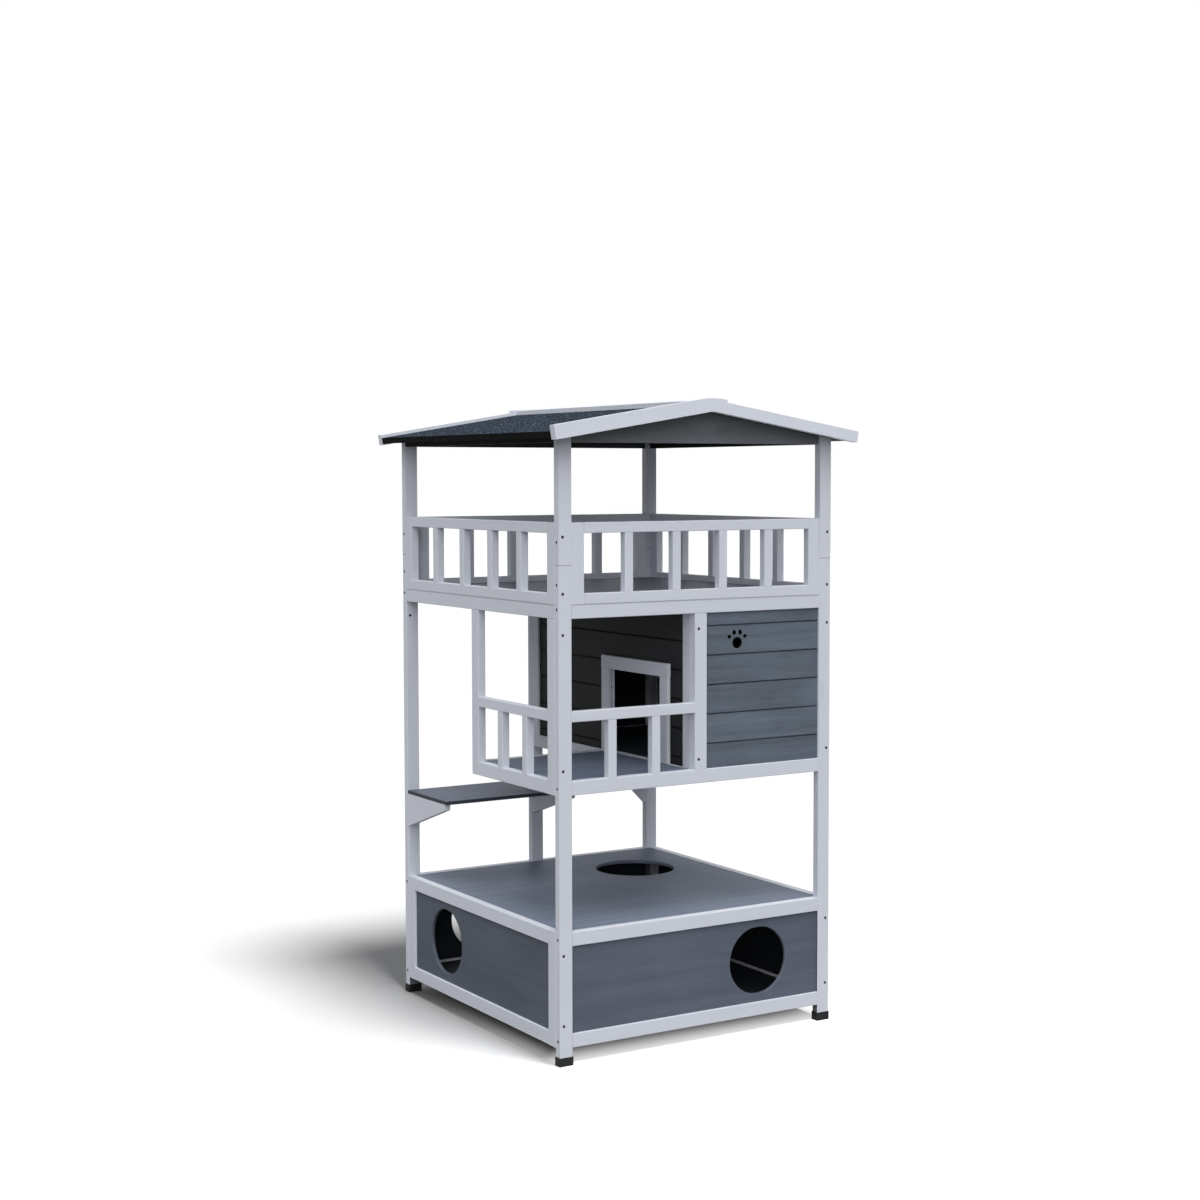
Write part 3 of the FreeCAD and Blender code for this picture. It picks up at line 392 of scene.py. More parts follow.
def edge_wear_group():
    """Mask of edges where a finish is rubbed thin, broken up by noise."""
    name = "Edge wear"
    if name in bpy.data.node_groups:
        return bpy.data.node_groups[name]
    tree, given, out = new_group(name, "ShaderNodeTree", {"Reach": 0.002, "Amount": 0.3}, {"Mask": "Float"})
    rounded = join("Bevel", {"samples": 4}, Radius=given["Reach"])
    flat = add(tree, "NewGeometry")["Normal"]
    bend = sums("SUBTRACT", 1.0, along(rounded[0], flat))
    patch = ramp(noise(own_place(tree), 38, 3, 0.6), 0.4, 0.68)
    rubbed = sums("MULTIPLY", ramp(bend, 0.01, 0.16), patch)
    plug(sums("MULTIPLY", rubbed, given["Amount"], clamp=True), out["Mask"])
    return tree


def worn_edges(tree, reach, worn):
    """The mask of worn edges, as far in and as strong as given."""
    return add(tree, "Group", {"node_tree": edge_wear_group()}, Reach=reach, Amount=worn)[0]


def painted_board_group():
    """Paint on softwood: streaks and fibres along the grain, knots, a tone for each plank, rubbed edges."""
    name = "Painted board"
    if name in bpy.data.node_groups:
        return bpy.data.node_groups[name]
    tree, given, out = new_group(name, "ShaderNodeTree", {
        "Paint": "Color", "Bare": "Color", "Turn": "Vector", "Grain": 0.1, "Knots": 0.5, "Tone": 0.0,
        "Plank Top": 0.0, "Plank Cover": ABOVE, "Joint": 0.0, "Roughness": 0.56, "Wear": 0.0,
    }, {"Color": "Color", "Roughness": "Float", "Height": "Float"})

    place = own_place(tree)
    below = sums("SUBTRACT", given["Plank Top"], along(place, UPRIGHT))
    planks = sums("DIVIDE", below, given["Plank Cover"])
    own = join("TexWhiteNoise", {"noise_dimensions": "1D"}, W=sums("FLOOR", planks))
    off_joint = sums("MULTIPLY", sums("PINGPONG", planks, 0.5), given["Plank Cover"])
    joint = sums("MULTIPLY", ramp(off_joint, *JOINT_LINE, 1, 0), given["Joint"])

    laid = join("Mapping", {"vector_type": "POINT"}, Vector=place, Rotation=given["Turn"])
    shifted = vectors("MULTIPLY_ADD", own["Color"], PLANK_SHIFT, laid[0])
    cell = cells(vectors("MULTIPLY", shifted, KNOT_CELLS), 1)
    there = sums("MULTIPLY", ramp(channel(cell, "Red"), 0.6, 0.62), given["Knots"])
    knot = sums("MULTIPLY", ramp(cell["Distance"], 0.04, 0.11, 1, 0), there)
    swirl = sums("MULTIPLY", ramp(cell["Distance"], 0.05, 0.5, 1, 0), there)
    bent = vectors("MULTIPLY_ADD", swirl, KNOT_BEND, shifted)

    streak = noise(vectors("MULTIPLY", bent, STREAKS), 1, 5, 0.62, 0.3)
    fibre = noise(vectors("MULTIPLY", bent, FIBRES), 1, 2, 0.6)
    cloud = noise(shifted, 5, 3, 0.5)
    grain = sums("ADD", sums("MULTIPLY_ADD", streak, 1.6, -0.8), sums("MULTIPLY_ADD", fibre, 0.7, -0.35))
    light = sums("MULTIPLY_ADD", grain, given["Grain"], 1.0)
    for value, weight in ((own["Value"], given["Tone"]), (cloud, given["Grain"])):
        light = sums("MULTIPLY_ADD", sums("SUBTRACT", value, 0.5), weight, light)
    light = sums("SUBTRACT", sums("MULTIPLY_ADD", knot, -0.3, light), joint)

    worn = worn_edges(tree, 0.0022, given["Wear"])
    plug(blend(worn, lit(given["Paint"], light), given["Bare"]), out["Color"])
    rough = sums("MULTIPLY_ADD", grain, 0.08, given["Roughness"])
    plug(sums("MULTIPLY_ADD", worn, 0.2, rough, clamp=True), out["Roughness"])
    relief = sums("MULTIPLY_ADD", fibre, 0.5, streak)
    plug(sums("MULTIPLY_ADD", knot, -0.4, relief), out["Height"])
    return tree


def new_finish(name):
    """A material with only a Principled shader, and its node tree."""
    material = bpy.data.materials.new(name)
    material.use_nodes = True
    return material, material.node_tree


def dress(material, paint, roughness, gloss, height=None, strength=0.0, depth=0.0, metal=0.0):
    """Plug the looks of a finish into its Principled shader, with its surface raised by a height value."""
    shader = material.node_tree.nodes["Principled BSDF"].inputs
    for label, value in (("Base Color", paint), ("Roughness", roughness), ("Specular IOR Level", gloss),
                         ("Metallic", metal)):
        plug(value, shader[label])
    if height:
        plug(join("Bump", Height=height, Strength=strength, Distance=depth)["Normal"], shader["Normal"])
    return material


def run_name(run):
    """A grain direction in words for a material's name."""
    axis = max(range(3), key=lambda i: abs(run[i]))
    if abs(run[axis]) > LEVEL:
        return "xyz"[axis]
    return "xyz"[axis] + ("_rising" if run[axis] * run[2 if axis < 2 else 0] > 0 else "_falling")


def painted_board(finish, paint, run, gloss=0.1, edge=0.0, inside=None, inside_top=ABOVE, cut=None, **board):
    """Painted softwood with its grain along run; upright edges may be darker, inner faces get painted shade,
    cut ends pale.
    """
    name = "%s_along_%s" % (finish, run_name(run))
    if name in bpy.data.materials:
        return bpy.data.materials[name]
    chosen = finishes()
    material, tree = new_finish(name)
    wood = add(tree, "Group", {"node_tree": painted_board_group()}, Paint=paint, Bare=chosen.bare_timber,
               Turn=run.rotation_difference(ACROSS).to_euler(), **board)
    finished = wood["Color"]
    # Upright edges made darker where asked, as on the shelf.
    if edge:
        level = looking(tree, UPRIGHT, *MIDDLE, both=True)
        finished = darken(finished, sums("SUBTRACT", 1.0, level), edge)
    # Painted shade on the faces that look inward, below the given top.
    if inside is not None:
        place = own_place(tree)
        below = ramp(along(place, UPRIGHT), inside_top, inside_top + INNER_SHADE_EDGE, 1, 0)
        if inside == BETWEEN:
            inside = vectors("NORMALIZE", vectors("MULTIPLY", place, -DEEP))
        inner = sums("MULTIPLY", looking(tree, inside), below)
        finished = darken(finished, inner, chosen.inner_shade)
    if cut is not None:
        finished = blend(looking(tree, cut, both=True), finished, chosen.light_paint)
    return dress(material, finished, wood["Roughness"], gloss, wood["Height"], 0.35, 0.0006)


def pale_paint(finish, paint, run, **looks):
    """Satin pale paint with the grain along run."""
    chosen = finishes()
    return painted_board(finish, getattr(chosen, paint), run, Grain=chosen.light_grain, Wear=chosen.edge_wear,
                         **PALE, **looks)


def jointed_paint(node, run):
    """Pale paint with a dark line along the top; a post also gets painted shade where it stands inside the
    den.
    """
    low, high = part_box(node)
    looks = {"Plank_Top": high.z, "Joint": finishes().joint_and_shadow_line}
    if node in LOWER_POSTS:
        # Painted shade on the post's faces that look into the den, below the deck.
        inside = Vector((math.copysign(1, -low.x - high.x), math.copysign(1, -low.y - high.y), 0))
        looks.update(inside=inside, inside_top=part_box("base_deck")[0].z)
    return pale_paint(node, "light_paint", run, **looks)


def slate_board(node):
    """Slate paint on a board or a wall of planks."""
    chosen, small = finishes(), bpy.context.scene.cat_house_sizes
    paint, run, inside = SLATE[node]
    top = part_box(node)[1].z
    looks = {"Grain": chosen.slate_grain, "Wear": chosen.edge_wear, "inside": inside}
    if node.endswith("_planks"):
        rip = small.front_rip if node == "room_front_planks" else small.plank_cover
        looks.update(Grain=chosen.plank_grain, Wear=0.0, Tone=chosen.plank_tone, Plank_Top=top - rip,
                     Plank_Cover=small.plank_cover, Joint=chosen.plank_joint)
        # The door wall's dark colour is painted shade; its low gloss keeps that shade dark, and its cut ends
        # take the light paint.
        if node == "door_wall_planks":
            looks.update(gloss=DOOR_GLOSS, cut=run)
    elif node.endswith("_panel"):
        # Painted shadow under the top rail along the panel's top.
        looks.update(Plank_Top=top, Joint=chosen.joint_and_shadow_line)
    elif node == "shelf_board":
        looks.update(edge=chosen.shelf_edge_dark)
    return painted_board(node, getattr(chosen, paint), run, **looks)


def felt_finish():
    """Bitumen felt: pale mineral specks on a dark ground, none where it folds down at the eave."""
    material, tree = new_finish("roof_felt_speckled")
    place = own_place(tree)
    coarse, fine = cells(place, COARSE_GRAINS), cells(place, FINE_GRAINS)
    pale, paler = channel(coarse, "Red"), channel(fine, "Green")
    clumps = ramp(noise(place, CLUMPS, 4, 0.7), 0.35, 0.65, 0.55, 1.2)
    speck = sums("ADD", ramp(pale, 0.5, 0.9, 0, 0.7), ramp(paler, 0.5, 0.95, 0, 0.5))
    speck = sums("MULTIPLY", speck, looking(tree, UPRIGHT, *MIDDLE))
    speck = sums("MULTIPLY", speck, clumps, clamp=True)
    height = sums("ADD", coarse["Distance"], fine["Distance"])
    return dress(material, blend(speck, finishes().felt, finishes().mineral),
                 ramp(pale, 0.2, 1.0, 0.95, 0.7), 0.05, height, 0.6, 0.0008)


def grain_finish():
    """Mineral grains in several greys."""
    material, tree = new_finish("mineral_grains")
    pick = channel(cells(own_place(tree), LOOSE_TONES), "Blue")
    return dress(material, blend(ramp(pick, 0.1, 0.95), finishes().felt, finishes().grit),
                 ramp(pick, 0.0, 1.0, 0.9, 0.65), 0.15)


def plastic_finish():
    """Matt moulded plastic with a fine spark texture and scuffed edges."""
    material, tree = new_finish("black_plastic_moulded")
    place = own_place(tree)
    cloud = noise(place, 60, 3, 0.6)
    scuffed = worn_edges(tree, 0.0015, 0.5)
    light = sums("MULTIPLY_ADD", scuffed, 1.5, ramp(cloud, *MIDDLE, 0.85, 1.2))
    return dress(material, lit(finishes().foot, light), ramp(cloud, *MIDDLE, 0.5, 0.66), 0.2,
                 noise(place, 900, 2, 0.6), 0.3, 0.0003)


def scorch_finish():
    """Wood scorched by the cutter, darkest in streaks."""
    material, tree = new_finish("scorched_wood")
    streak = noise(vectors("MULTIPLY", own_place(tree), (400, 60, 400)), 1, 3, 0.6)
    return dress(material, lit(finishes().scorch, ramp(streak, *MIDDLE, 0.6, 1.5)),
                 ramp(streak, *MIDDLE, 0.95, 0.8), 0.05, streak, 0.3, 0.0004)


def steel_finish():
    """Black-coated steel, rubbed bright at the edges of the recess."""
    material, tree = new_finish("screw_steel_blacked")
    mottle = noise(own_place(tree), 500, 3, 0.6)
    rubbed = worn_edges(tree, 0.0004, 0.8)
    light = sums("MULTIPLY_ADD", rubbed, 2, ramp(mottle, *MIDDLE, 0.75, 1.25))
    return dress(material, lit(finishes().screw, light), ramp(mottle, *MIDDLE, 0.38, 0.55), 0.5,
                 mottle, 0.15, 0.0001, metal=0.8)


def use_material(node, material):
    """Give a CAD node a material in place of its plain one."""
    for slot in NODES[node].material_slots:
        slot.material = material


def merged_copy(node):
    """A CAD node's shape as a bmesh with its doubles merged, and the faces of each solid in it."""
    copy = bmesh.new()
    copy.from_mesh(NODES[node].data)
    bmesh.ops.remove_doubles(copy, verts=copy.verts, dist=MERGE)
    left = set(copy.faces)
    found = []
    while left:
        pile = [left.pop()]
        solid = []
        while pile:
            face = pile.pop()
            solid.append(face)
            near = {other for edge in face.edges if edge.is_manifold for other in edge.link_faces} & left
            left -= near
            pile.extend(near)
        found.append(solid)
    return copy, sorted(found, key=lambda solid: tuple(solid_box(solid)[0]))


def solid_box(solid):
    """Lowest and highest corner of a solid's faces."""
    points = [vert.co for face in solid for vert in face.verts]
    return [Vector([round(pick(p[i] for p in points), 5) for i in range(3)]) for pick in (min, max)]


def solid_run(solid):
    """Direction of a board's longest edge, which its grain follows."""
    edges = [edge for face in solid for edge in face.edges]
    edge = max(edges, key=lambda e: round(e.calc_length() if e.calc_face_angle(0) > REAL_EDGE else 0, 5))
    run = (edge.verts[1].co - edge.verts[0].co).normalized()
    return run if max(run, key=abs) > 0 else -run


def mesh_of(copy, name, *painted):
    """A bmesh as a plain mesh with its finishes; the bmesh is freed."""
    mesh = bpy.data.meshes.new(name)
    copy.to_mesh(mesh)
    copy.free()
    for finish in painted:
        mesh.materials.append(finish)
    return mesh


def drawn_mesh(copy, name, *painted):
    """The mesh of a bmesh drawn in this script, with its faces turned outward."""
    bmesh.ops.recalc_face_normals(copy, faces=copy.faces)
    return mesh_of(copy, name, *painted)


def bridge(copy, lower, upper):
    """Close the band between two rings."""
    count = len(lower)
    for i in range(count):
        copy.faces.new((lower[i], lower[(i + 1) % count], upper[(i + 1) % count], upper[i]))


def loft(copy, rings):
    """Close the bands between rings, and the first and the last ring."""
    for below, above in zip(rings, rings[1:]):
        bridge(copy, below, above)
    copy.faces.new(rings[0][::-1])
    copy.faces.new(rings[-1])


def new_object(name, data):
    """Put a new object in the scene."""
    thing = bpy.data.objects.new(name, data)
    bpy.context.scene.collection.objects.link(thing)
    return thing


def new_piece(mesh, slot, *replaced):
    """Put a finished mesh in the scene as a piece of the house."""
    piece = new_object(mesh.name, mesh)
    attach(piece, BODY)
    if replaced:
        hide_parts(*replaced)


def paint_timber(node):
    """Paint a node's timbers with the grain along each; mixed runs need a copy with a material for each."""
    copy, timbers = merged_copy(node)
    if node in JOINTED:
        painted = [jointed_paint(node, solid_run(timbers[0]))]
    else:
        paint = "barge_paint" if node in BARGES else "light_paint"
        painted = []
        for timber in timbers:
            finish = pale_paint(paint, paint, solid_run(timber))
            if finish not in painted:
                painted.append(finish)
            for face in timber:
                face.material_index = painted.index(finish)
    if len(painted) == 1:
        use_material(node, painted[0])
        copy.free()
    else:
        bmesh.ops.split_edges(copy, edges=[edge for edge in copy.edges if len(edge.link_faces) > 2])
        new_piece(mesh_of(copy, node + "_painted", *painted), "light_paint", node)


class CATHOUSE_OT_timber(bpy.types.Operator):
    """Paint the posts, rails, railings, brackets and barge boards light grey"""

    bl_idname = "cat_house.timber"
    bl_label = "Paint the timber"

    def execute(self, context):
        for node, slot in SLOTS.items():
            if slot == "light_paint":
                paint_timber(node)
        return {"FINISHED"}


class CATHOUSE_OT_boards(bpy.types.Operator):
    """Paint the slate boards and plank walls, darken the roof boards and eave beams with partly painted
    shade, and leave the battens bare
    """

    bl_idname = "cat_house.boards"
    bl_label = "Paint the boards"

    def execute(self, context):
        chosen = finishes()
        for node in SLATE:
            use_material(node, slate_board(node))
        for node in UNDER_ROOF:
            # Near-black roof boards and eave beams: dark paint, partly painted shade under the roof.
            use_material(node, painted_board("roof_under", chosen.roof_under, DEEP, **UNDER_ROOF_LOOKS))
        for node, slot in SLOTS.items():
            if slot == "bare_pine":
                use_material(node, painted_board("bare_pine", chosen.bare_timber, DEEP, **PINE))
        return {"FINISHED"}


def on_outline(vert, low, high):
    """Whether a corner lies on the outline of a board's box, seen square on."""
    thin = min(range(3), key=lambda i: high[i] - low[i])
    return any(min(vert.co[i] - low[i], high[i] - vert.co[i]) < OUTLINE for i in range(3) if i != thin)


class CATHOUSE_OT_holed_boards(bpy.types.Operator):
    """Ease the rims of the round cat holes in the base panels and the deck"""

    bl_idname = "cat_house.holed_boards"
    bl_label = "Ease the hole rims"

    def execute(self, context):
        ease = context.scene.cat_house_sizes.rim_ease
        for node in HOLED_BOARDS:
            copy, boards = merged_copy(node)
            low, high = solid_box(boards[0])
            bmesh.ops.dissolve_limit(copy, angle_limit=math.radians(1), verts=copy.verts, edges=copy.edges)
            rims = [edge for edge in copy.edges if edge.calc_face_angle(0) > SQUARE_EDGE
                    and not any(on_outline(v, low, high) for v in edge.verts)]
            if not rims:
                raise RuntimeError("no hole rim found on " + node)
            bmesh.ops.bevel(copy, geom=rims, offset=ease, segments=4, profile=0.5, affect="EDGES")
            new_piece(mesh_of(copy, node + "_eased", slate_board(node)), "slate_paint", node)
        return {"FINISHED"}


def repeat_tree(name, inputs):
    """An empty Geometry Nodes group that takes geometry, the named inputs and a finish."""
    taken = {"Geometry": "Geometry", **inputs, "Finish": "Material"}
    return new_group(name, "GeometryNodeTree", taken, {"Geometry": "Geometry"})


def cut_out(body, cutter):
    """A body with the shape of a cutter object taken out."""
    taken = join("GeometryNodeObjectInfo", Object=cutter)["Geometry"]
    cut = {"operation": "DIFFERENCE", "solver": "EXACT"}
    return join("GeometryNodeMeshBoolean", cut, body, taken)[0]


def end_tree(tree, given, out, result):
    """End a Geometry Nodes group with its instances made real and in their finish."""
    real = join("GeometryNodeRealizeInstances", Geometry=result)
    painted = join("GeometryNodeSetMaterial", Geometry=real[0], Material=given["Finish"])
    plug(painted[0], out["Geometry"])
    return tree


def nodes_applied(name, mesh, tree, inputs):
    """Run a Geometry Nodes tree on a mesh and return its result as a plain mesh."""
    carrier = new_object(name + "_carrier", mesh)
    modifier = carrier.modifiers.new(name, "NODES")
    modifier.node_group = tree
    sockets = {item.name: item.identifier for item in tree.interface.items_tree if item.in_out == "INPUT"}
    for label, value in inputs.items():
        modifier[sockets[label]] = value
    carrier.update_tag()
    bpy.context.view_layer.update()
    graph = bpy.context.evaluated_depsgraph_get()
    result = bpy.data.meshes.new_from_object(carrier.evaluated_get(graph), depsgraph=graph)
    result.name = name
    carrier.modifiers.remove(modifier)
    bpy.data.objects.remove(carrier)
    if not result.polygons:
        raise RuntimeError("nothing was made for " + name)
    return result


def plain_plank(plank):
    """A plank drawn anew from the outline of its end, whole along its length."""
    low, high = solid_box(plank)
    drawn = bmesh.new()
    ends = [face for face in plank if all(v.co.x < low.x + IN_PLANE for v in face.verts)]
    corners = {v: drawn.verts.new(v.co) for face in ends for v in face.verts}
    for face in ends:
        drawn.faces.new([corners[v] for v in face.verts])
    swept = bmesh.ops.extrude_face_region(drawn, geom=drawn.faces[:])["geom"]
    moved = [part for part in swept if isinstance(part, bmesh.types.BMVert)]
    bmesh.ops.translate(drawn, verts=moved, vec=(high.x - low.x, 0, 0))
    if any(not edge.is_manifold for edge in drawn.edges):
        raise RuntimeError("the vented plank could not be drawn anew")
    return drawn_mesh(drawn, "plain_plank"), low.y - CUT_PAST, high.y + CUT_PAST


def vent_mesh(small, near, far):
    """The cutter for the paw vent: an egg-shaped pad under four oval toes."""
    pad, toe = small.vent_pad / 2, small.vent_toe / 2
    ovals = [(0, 0, pad, pad * PAD_TALL, PAD_EGG)]
    for side in (-1, 1):
        ovals += [(side * pad * across, pad * up, toe * wide, toe * tall, 0)
                  for across, up, wide, tall in TOES]
    turns = [math.tau * step / OVAL_SIDES for step in range(OVAL_SIDES)]
    cutter = bmesh.new()
    for across, up, wide, tall, egg in ovals:
        loft(cutter, [[cutter.verts.new((
            small.vent_across + across + wide * (1 + egg * math.sin(turn)) * math.cos(turn), level,
            small.vent_level + up + tall * math.sin(turn))) for turn in turns] for level in (near, far)])
    return drawn_mesh(cutter, "vent")


def vent_tree():
    """A plank with the openings of a cutter taken out."""
    tree, given, out = repeat_tree("Cut vent", {"Cutter": "Object"})
    return end_tree(tree, given, out, cut_out(given["Geometry"], given["Cutter"]))


class CATHOUSE_OT_vent(bpy.types.Operator):
    """Cut the paw vent through its plank, with scorched walls"""

    bl_idname = "cat_house.vent"
    bl_label = "Cut the vent"

    def execute(self, context):
        small = context.scene.cat_house_sizes
        middle = Vector((small.vent_across, 0, small.vent_level))
        node = "room_front_planks"
        copy, planks = merged_copy(node)
        vented = min(planks, key=lambda plank: abs(
            sum(corner.z for corner in solid_box(plank)) / 2 - small.vent_level))
        mesh, near, far = plain_plank(vented)
        cutter = bpy.data.objects.new("vent", vent_mesh(small, near, far))
        paint = slate_board(node)
        plank = nodes_applied("vented_plank", mesh, vent_tree(), {"Cutter": cutter, "Finish": paint})
        bpy.data.objects.remove(cutter)
        bmesh.ops.delete(copy, geom=vented, context="FACES")
        copy.from_mesh(plank)
        for face in copy.faces:
            place = face.calc_center_median() - middle
            inside = max(abs(place.x), abs(place.z)) < small.vent_pad * VENT_REACH
            face.material_index = 1 if inside and abs(face.normal.y) < ASKEW else 0
        new_piece(mesh_of(copy, node + "_vented", paint, scorch_finish()), "slate_paint", node)
        return {"FINISHED"}


def grit_tree():
    """Loose mineral grains scattered over the upper faces of the felt."""
    tree, given, out = repeat_tree("Scatter grains", {"Density": "Float", "Grain Size": "Float",
                                                      "Seed": "Int"})
    normal = add(tree, "GeometryNodeInputNormal")[0]
    upward = sums("GREATER_THAN", along(normal, UPRIGHT), 0.5)
    points = join("GeometryNodeDistributePointsOnFaces", Mesh=given["Geometry"], Selection=upward,
                  Density=given["Density"], Seed=given["Seed"])
    grain = add(tree, "GeometryNodeMeshUVSphere", Segments=4, Rings=2, Radius=0.5)
    chance = {"data_type": "FLOAT_VECTOR"}
    turn = join("FunctionNodeRandomValue", chance, Max=[math.tau] * 3, Seed=given["Seed"])
    spread = join("FunctionNodeRandomValue", chance, Min=GRAIN_LEAST, Max=GRAIN_MOST, Seed=given["Seed"])
    size = join("VectorMath", {"operation": "SCALE"}, spread[0], Scale=given["Grain Size"])
    placed = join("GeometryNodeInstanceOnPoints", Points=points["Points"], Instance=grain["Mesh"],
                  Rotation=turn[0], Scale=size[0])
    return end_tree(tree, given, out, placed[0])


class CATHOUSE_OT_roof(bpy.types.Operator):
    """Give the roof its felt finish and scatter loose mineral grains over it"""

    bl_idname = "cat_house.roof"
    bl_label = "Lay the felt"

    def execute(self, context):
        small = context.scene.cat_house_sizes
        use_material("roof_felts", felt_finish())
        copy, _ = merged_copy("roof_felts")
        grit = nodes_applied("felt_grains", mesh_of(copy, "felt_faces"), grit_tree(), {
            "Density": small.grains, "Grain Size": small.grain_size, "Seed": small.seed,
            "Finish": grain_finish()})
        new_piece(grit, "roof_felt")
        return {"FINISHED"}


def rounded_ring(copy, centre, half_x, half_y, corner, level, steps=5):
    """One level ring of a rounded rectangle."""
    ring = []
    for quarter, (sx, sy) in enumerate(((1, 1), (-1, 1), (-1, -1), (1, -1))):
        for step in range(steps + 1):
            turn = (quarter + step / steps) * math.pi / 2
            ring.append(copy.verts.new((
                centre.x + sx * (half_x - corner) + corner * math.cos(turn),
                centre.y + sy * (half_y - corner) + corner * math.sin(turn), level)))
    return ring


def foot_cap(copy, low, high, post_low, post_high, small):
    """One moulded cap: a cup with rounded corners, a soft sole edge and a thin lip round the post's end."""
    centre, half, inner = (low + high) / 2, (high - low) / 2, (post_high - post_low) / 2
    wall = min(half.x - inner.x, half.y - inner.y)
    lip, sole = wall * LIP, small.cap_sole
    outer = [
        (sole, low.z), (sole * SET_BACK, low.z + sole * SET_BACK), (0, low.z + sole),
        (0, high.z - lip), (lip * SET_BACK, high.z - lip * SET_BACK), (lip, high.z),
    ]
    rings = [rounded_ring(copy, centre, half.x - inset, half.y - inset, small.cap_corner - inset, level)
             for inset, level in outer]
    rings += [rounded_ring(copy, centre, inner.x, inner.y, small.cap_corner - wall, level)
              for level in (high.z, post_low.z)]
    loft(copy, rings)


class CATHOUSE_OT_feet(bpy.types.Operator):
    """Mould the four plastic foot caps"""

    bl_idname = "cat_house.feet"
    bl_label = "Mould the feet"

    def execute(self, context):
        plain, caps = merged_copy("foot_caps")
        posts = [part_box(node) for node in LOWER_POSTS]
        copy = bmesh.new()
        for cap in caps:
            low, high = solid_box(cap)
            post = min(posts, key=lambda ends: (ends[0] + ends[1] - low - high).xy.length)
            foot_cap(copy, low, high, *post, context.scene.cat_house_sizes)
        plain.free()
        new_piece(drawn_mesh(copy, "foot_caps_moulded", plastic_finish()), "black_plastic", "foot_caps")
        return {"FINISHED"}


def screw_profile(small, long):
    """Half section of a screw, from the rim of its head to the start of its point: radius and level."""
    head, crest, core = small.head_wide / 2, small.shank_wide / 2, small.shank_wide * CORE
    level = -small.head_deep - (long - small.head_deep) * PLAIN_PART
    end = small.shank_wide - long
    profile = [(head, 0.0), (head, -HEAD_RIM), (core * NECK, -small.head_deep), (core * NECK, level)]
    while level - small.thread_pitch > end:
        profile += [(radius, level - small.thread_pitch * part)
                    for radius, part in zip((core, crest, core), TURN)]
        level -= small.thread_pitch
    return profile + [(core, end)]


def screw_mesh(name, small, long):
    """A countersunk screw with a thread, its head level with the ground and its point down."""
    copy = bmesh.new()
    turns = [math.tau * i / SCREW_SIDES for i in range(SCREW_SIDES)]
    rings = [[copy.verts.new((radius * math.cos(turn), radius * math.sin(turn), level)) for turn in turns]
             for radius, level in screw_profile(small, long)]
    for upper, lower in zip(rings, rings[1:]):
        bridge(copy, lower, upper)
    tip = copy.verts.new((0, 0, -long))
    for i in range(SCREW_SIDES):
        copy.faces.new((rings[-1][(i + 1) % SCREW_SIDES], rings[-1][i], tip))
    copy.faces.new(rings[0])
    return drawn_mesh(copy, name)


def recess_mesh(small):
    """The cutter for a cross recess: a cross that narrows as it goes down."""
    copy = bmesh.new()
    arm, slot = small.recess_wide / 2, small.recess_slot / 2
    rings = []
    for level, size in ((small.recess_deep, 1.0), (0.0, 1.0), (-small.recess_deep, RECESS_FOOT)):
        corners = []
        for quarter in range(4):
            turn = Matrix.Rotation(quarter * math.pi / 2, 2)
            for x, y in ((arm * size, -slot), (arm * size, slot), (slot, slot)):
                corners.append(copy.verts.new((*(turn @ Vector((x, y))), level)))
        rings.append(corners)
    loft(copy, rings[::-1])
    return drawn_mesh(copy, "recess")


def screw_tree():
    """A screw at every point, along the direction stored there and turned by chance about its own axis."""
    tree, given, out = repeat_tree("Drive screws", {"Screw": "Object", "Recess": "Object", "Seed": "Int"})
    blank = join("GeometryNodeObjectInfo", Object=given["Screw"])["Geometry"]
    outward = add(tree, "GeometryNodeInputNamedAttribute", {"data_type": "FLOAT_VECTOR"}, Name="outward")
    aimed = join("FunctionNodeAlignRotationToVector", {"axis": "Z"}, Vector=outward[0])
    chance = join("FunctionNodeRandomValue", {"data_type": "FLOAT"}, *[None] * 3, math.tau,
                  Seed=given["Seed"])
    spin = join("FunctionNodeAxisAngleToRotation", Angle=chance[1])
    turned = join("FunctionNodeRotateRotation", {"rotation_space": "LOCAL"}, Rotation=aimed[0],
                  Rotate_By=spin[0])
    placed = join("GeometryNodeInstanceOnPoints", Points=given["Geometry"],
                  Instance=cut_out(blank, given["Recess"]), Rotation=turned[0])
    return end_tree(tree, given, out, placed[0])


def screw_spot(solid):
    """Centre of a CAD screw's head, the direction it faces, and its length."""
    low, high = solid_box(solid)
    axis = max(range(3), key=lambda i: high[i] - low[i])
    middle = (low + high) / 2
    reach = {end: max(max(abs(v.co[i] - middle[i]) for i in range(3) if i != axis)
                      for face in solid for v in face.verts if abs(v.co[axis] - end) < IN_PLANE)
             for end in (low[axis], high[axis])}
    end = max(reach, key=reach.get)
    outward = Vector((0, 0, 0))
    outward[axis] = 1 if end == high[axis] else -1
    middle[axis] = end
    return middle, outward, round(high[axis] - low[axis], 4)


